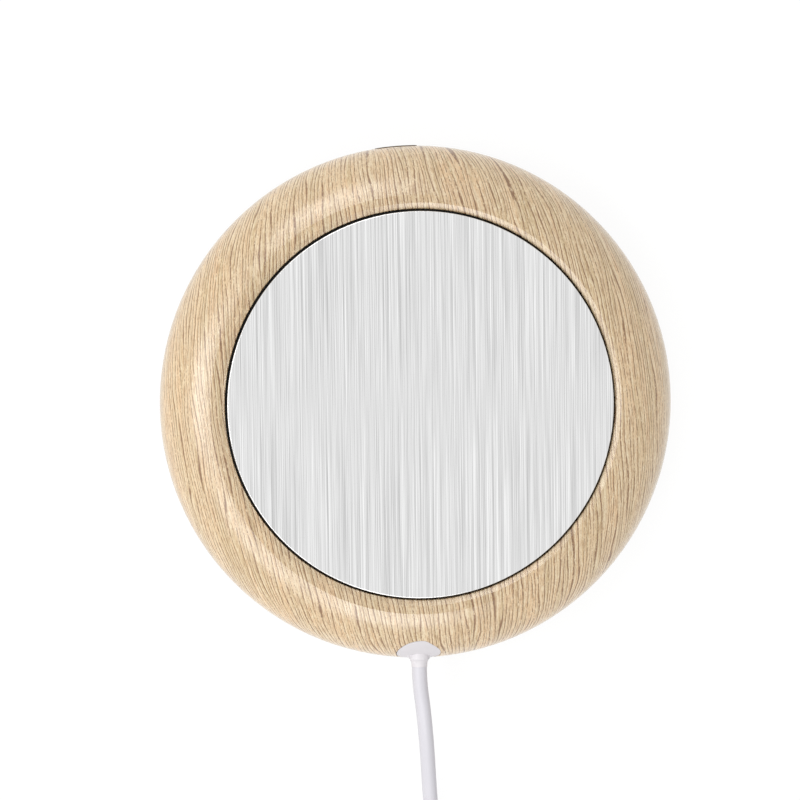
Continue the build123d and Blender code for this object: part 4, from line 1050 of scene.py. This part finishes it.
@dataclass(frozen=True)
class HeatingStack:
    """The plate that a mug stands on and the heater that it hides.

    Attributes:
        plate_line_mm: Width of the plate's brushed lines.
        foil_line_mm: Width of the rolling lines on the heater's foil.
        strap_line_mm: Width of those on the cut-out's spring strap.
        felt_grain_mm: Size of the felt's fibres.
    """

    plate_line_mm: float = 0.25
    foil_line_mm: float = 0.2
    strap_line_mm: float = 0.15
    felt_grain_mm: float = 0.8

    def dress(self) -> None:
        """Give the stack's pieces their finishes."""
        # Belt-brushed stainless steel: bright, with long light and dark lines front to back.
        lines = {"line_mm": self.plate_line_mm}
        plate = BrushedMetal("stainless steel, belt brushed", "#DFDFDF", 0.2, **lines)
        dress(plate, "heating_plate")
        # Glass-filled PPS: black, and dull where the glass comes near the surface.
        dress(Moulded("glass-filled pps, moulded black", "#171513", 0.5), "plate_carrier")
        # Pressed silicone: black and matt.
        dress(Moulded("silicone, pressed black", "#101010", 0.6), "plate_seal")
        # Polyimide: clear amber, as glossy as film.
        dress(Moulded("polyimide film, amber", "#B9771D", 0.25, ior=1.7), "heater_film")
        # Rolled alloy foil: warm grey with fine rolling lines.
        lines = {"line_mm": self.foil_line_mm}
        foil = BrushedMetal("alloy foil, rolled and etched", "#C9C5BC", 0.3, **lines)
        dress(foil, "heater_track")
        # Mineral felt: off-white and fully matt, with fibres that stand up.
        grain = {"grain_mm": self.felt_grain_mm, "depth_mm": 0.2, "mottling": 0.1}
        dress(Moulded("mineral felt, pressed", "#E4E1D8", 0.95, **grain), "insulation_pad")
        # Zinc plating on rolled sheet: a cool grey with broad clouds.
        sheet = PlatedMetal("steel sheet, zinc plated", "#C2C5CA", 0.32, cloud_mm=6.0)
        dress(sheet, "pressure_plate", "stud_washers")
        # Bare aluminium, pressed and headed: light grey and softly clouded.
        dress(PlatedMetal("aluminium case, pressed", "#C8C9CB", 0.35), "thermal_cutout")
        dress(PlatedMetal("aluminium rivets, headed", "#CDCED0", 0.3), "clip_rivets")
        # Rolled spring steel: grey and bright, with hardly a line.
        lines = {"line_mm": self.strap_line_mm, "contrast": 0.08}
        strap = BrushedMetal("spring steel, rolled bright", "#B4B5B7", 0.25, **lines)
        dress(strap, "cutout_clip")


@dataclass(frozen=True)
class ButtonAndSwitch:
    """The dark button in the wall, the switch behind it and their wiring.

    Attributes:
        button_grain_mm: Grain of the button's tool.
        board_grain_mm: Weave of the board's glass cloth.
        wire_mm: Thickness of the spring's wire.
        coils: Turns of the spring.
        wire_sides: Sides of the wire's section.
        steps_a_turn: Steps in which each turn is wound.
        smooth_deg: Largest angle over which the wire is shaded as smooth.
        travel_mm: How far the button goes in; not used.
    """

    button_grain_mm: float = 0.4
    board_grain_mm: float = 0.9
    wire_mm: float = 0.35
    coils: float = 4.5
    wire_sides: int = 10
    steps_a_turn: int = 28
    smooth_deg: float = 40.0
    travel_mm: float = 1.8

    def build_spring(self) -> Piece:
        """Wind the spring behind the button, in the place of the CAD spring.

        Returns:
            The spring.
        """
        low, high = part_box("switch_spring")
        middle, wire = (low + high) / 2, self.wire_mm * MM
        height = high.y - low.y - wire
        coil_r = (high.x - low.x - wire) / 2
        whole = math.ceil(self.coils)
        bpy.ops.object.select_all(action="DESELECT")
        bpy.ops.mesh.primitive_circle_add(
            vertices=self.wire_sides,
            radius=wire / 2,
            location=(coil_r, 0, -height / 2),
            rotation=(math.pi / 2, 0, 0),
        )
        spring = bpy.context.object
        bpy.ops.object.transform_apply()
        turns = {"angle": math.tau * self.coils / whole, "iterations": whole}
        turns |= {"steps": self.steps_a_turn, "render_steps": self.steps_a_turn}
        turns["screw_offset"] = height / whole
        modify(spring, "SCREW", axis="Z", use_merge_vertices=True, **turns)
        bpy.ops.object.mode_set(mode="EDIT")
        bpy.ops.mesh.select_all(action="SELECT")
        bpy.ops.mesh.remove_doubles(threshold=wire / 100)
        bpy.ops.mesh.fill_holes(sides=0)
        bpy.ops.mesh.select_all(action="SELECT")
        bpy.ops.mesh.normals_make_consistent(inside=False)
        bpy.ops.object.mode_set(mode="OBJECT")
        spring.location = middle
        spring.rotation_euler = (math.pi / 2, 0, 0)
        bpy.ops.object.transform_apply()
        bpy.ops.object.shade_smooth_by_angle(angle=math.radians(self.smooth_deg))
        spring.name = "spring"
        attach(spring, HOUSING)
        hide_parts("switch_spring")
        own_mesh(spring)
        LOG.info("spring: %d faces", len(spring.data.polygons))
        return spring

    def dress(self, spring: Piece) -> None:
        """Give these pieces their finishes.

        Args:
            spring: The spring.
        """
        # Drawn spring wire, oiled: grey and bright with a slight haze.
        wire = PlatedMetal("spring steel wire, drawn", "#B4B5B7", 0.3)
        spring.data.materials.append(wire.build())
        # Moulded ABS: dark brown with a satin shine.
        grain = {"grain_mm": self.button_grain_mm}
        dress(Moulded("abs, moulded dark brown", "#5A4630", 0.4, **grain), "power_button")
        # Unpainted acetal: milky white, slippery.
        dress(Moulded("acetal, moulded natural", "#ECEBE4", 0.4), "switch_plunger")
        # Moulded PBT: black with a clean shine.
        dress(Moulded("pbt, moulded black", "#1B1B1D", 0.35), "switch_case")
        # Bare bronze: warm yellow, browner in its clouds.
        clips = PlatedMetal("bronze clips, bright", "#D9A866", 0.25, tint="#A97C45")
        dress(clips, "contact_clips")
        # Tin over brass: pale and bright.
        dress(PlatedMetal("brass pins, tinned", "#D2D3D4", 0.3), "switch_pins")
        # Green solder mask over glass cloth: glossy, with the weave just showing.
        grain = {"grain_mm": self.board_grain_mm, "ior": 1.55}
        dress(Moulded("glass laminate, green mask", "#2E6B3C", 0.3, **grain), "switch_board")
        # Extruded silicone: strong plain colours with a rubbery shine.
        red = Moulded("silicone lead, red", "#B3241E", 0.5)
        dress(red, "lead_cord_to_switch", "lead_switch_to_cutout", "lead_cutout_to_heater")
        dress(Moulded("silicone lead, black", "#1C1C1C", 0.5), "lead_cord_to_heater")


@dataclass(frozen=True)
class Studio:
    """White floor, white surroundings and soft lamps, strongest from the left and front.

    Attributes:
        ambient: Strength of the light from all round on the object's own colours.
        floor: The floor's side, and how far it lies under the feet, in metres.
        floor_glow: Light of its own that the floor shows, so that its shadow stays faint.
        aim: The point that the lamps face, in metres.
        lamps: Name, place and side in metres, and power in watts of each square lamp.
    """

    ambient: float = 0.5
    floor: tuple[float, float] = (6.0, 0.0001)
    floor_glow: float = 0.9
    aim: Point = (0.0, 0.0, 0.01)
    lamps: tuple[tuple[str, Point, float, float], ...] = (
        ("lamp_left", (-0.77, 0.02, 0.915), 0.46, 3.3),
        ("lamp_corner", (-0.528, -0.55, 0.91), 0.4, 1.9),
        ("lamp_front", (-0.044, -0.77, 0.915), 0.44, 2.6),
        ("lamp_behind", (-0.24, 0.72, 0.92), 0.48, 2.7),
    )

    def seen(self, tree: Tree) -> Socket:
        """Output that is 1 for what the camera, a gloss or a glass shows, and otherwise 0."""
        camera = add(tree, "LightPath", {}, "Is Camera Ray")
        shows = camera
        for name in ("Is Glossy Ray", "Is Transmission Ray"):
            inputs = {0: shows, 1: camera.node.outputs[name]}
            shows = add(tree, "Math", inputs, operation="MAXIMUM")
        return shows

    def build_surroundings(self) -> None:
        """Make the world: white to look at, dimmer as a light."""
        world = bpy.data.worlds.new("surroundings")
        bpy.context.scene.world = world
        world.use_nodes = True
        tree = world.node_tree
        tree.nodes.clear()
        inputs = {"Value": self.seen(tree), "To Min": self.ambient, "To Max": 1.0}
        strength = add(tree, "MapRange", inputs)
        light = add(tree, "Background", {"Color": linear("#FFFFFF"), "Strength": strength})
        add(tree, "OutputWorld", {"Surface": light})

    def build_floor(self) -> None:
        """Lay the floor that the warmer stands on."""
        side, drop = self.floor
        bpy.ops.object.select_all(action="DESELECT")
        bpy.ops.mesh.primitive_plane_add(size=side, location=(0.0, 0.0, -drop))
        floor = bpy.context.object
        floor.name = "floor"
        material = bpy.data.materials.new("painted board, matt white")
        material.use_nodes = True
        tree = material.node_tree
        tree.nodes.clear()
        matt = add(tree, "BsdfDiffuse", {"Color": linear("#E6E6E6")})
        dim = add(tree, "BsdfDiffuse", {"Color": linear("#666666")})
        glow = add(tree, "Emission", {"Color": linear("#FFFFFF"), "Strength": self.floor_glow})
        shown = add(tree, "AddShader", {0: dim, 1: glow})
        shown = add(tree, "MixShader", {0: self.seen(tree), 1: matt, 2: shown})
        # Clear from below, so that the warmer's underside can be looked at through it.
        under = add(tree, "NewGeometry", {}, "Backfacing")
        clear = add(tree, "BsdfTransparent", {})
        board = add(tree, "MixShader", {0: under, 1: shown, 2: clear})
        add(tree, "OutputMaterial", {"Surface": board})
        floor.data.materials.append(material)

    def hang_lamps(self) -> None:
        """Hang the square soft lamps, each facing the warmer."""
        for name, place, side, watts in self.lamps:
            data = bpy.data.lights.new(name, "AREA")
            data.shape = "SQUARE"
            data.size = side
            data.energy = watts
            lamp = bpy.data.objects.new(name, data)
            bpy.context.scene.collection.objects.link(lamp)
            lamp.location = place
            facing = Vector(self.aim) - Vector(place)
            lamp.rotation_euler = facing.to_track_quat("-Z", "Y").to_euler()
            LOG.info("%s: %.1f W", name, watts)

    def build(self) -> None:
        """Set up the whole studio."""
        self.build_surroundings()
        self.build_floor()
        self.hang_lamps()
        bpy.context.scene.view_settings.view_transform = "Standard"


def main() -> None:
    """Build the camera, the cord and the looks in order."""
    logging.basicConfig(level=logging.INFO, format="%(name)s %(message)s")
    bpy.ops.object.select_all(action="DESELECT")
    CameraStand().build()
    lead = Cord()
    cord = lead.build()
    plug = lead.plug()
    grip = plug.build()
    lead.dress(cord)
    plug.dress(grip)
    Casing().dress()
    HeatingStack().dress()
    switch = ButtonAndSwitch()
    switch.dress(switch.build_spring())
    Studio().build()


if __name__ == "__main__":
    main()
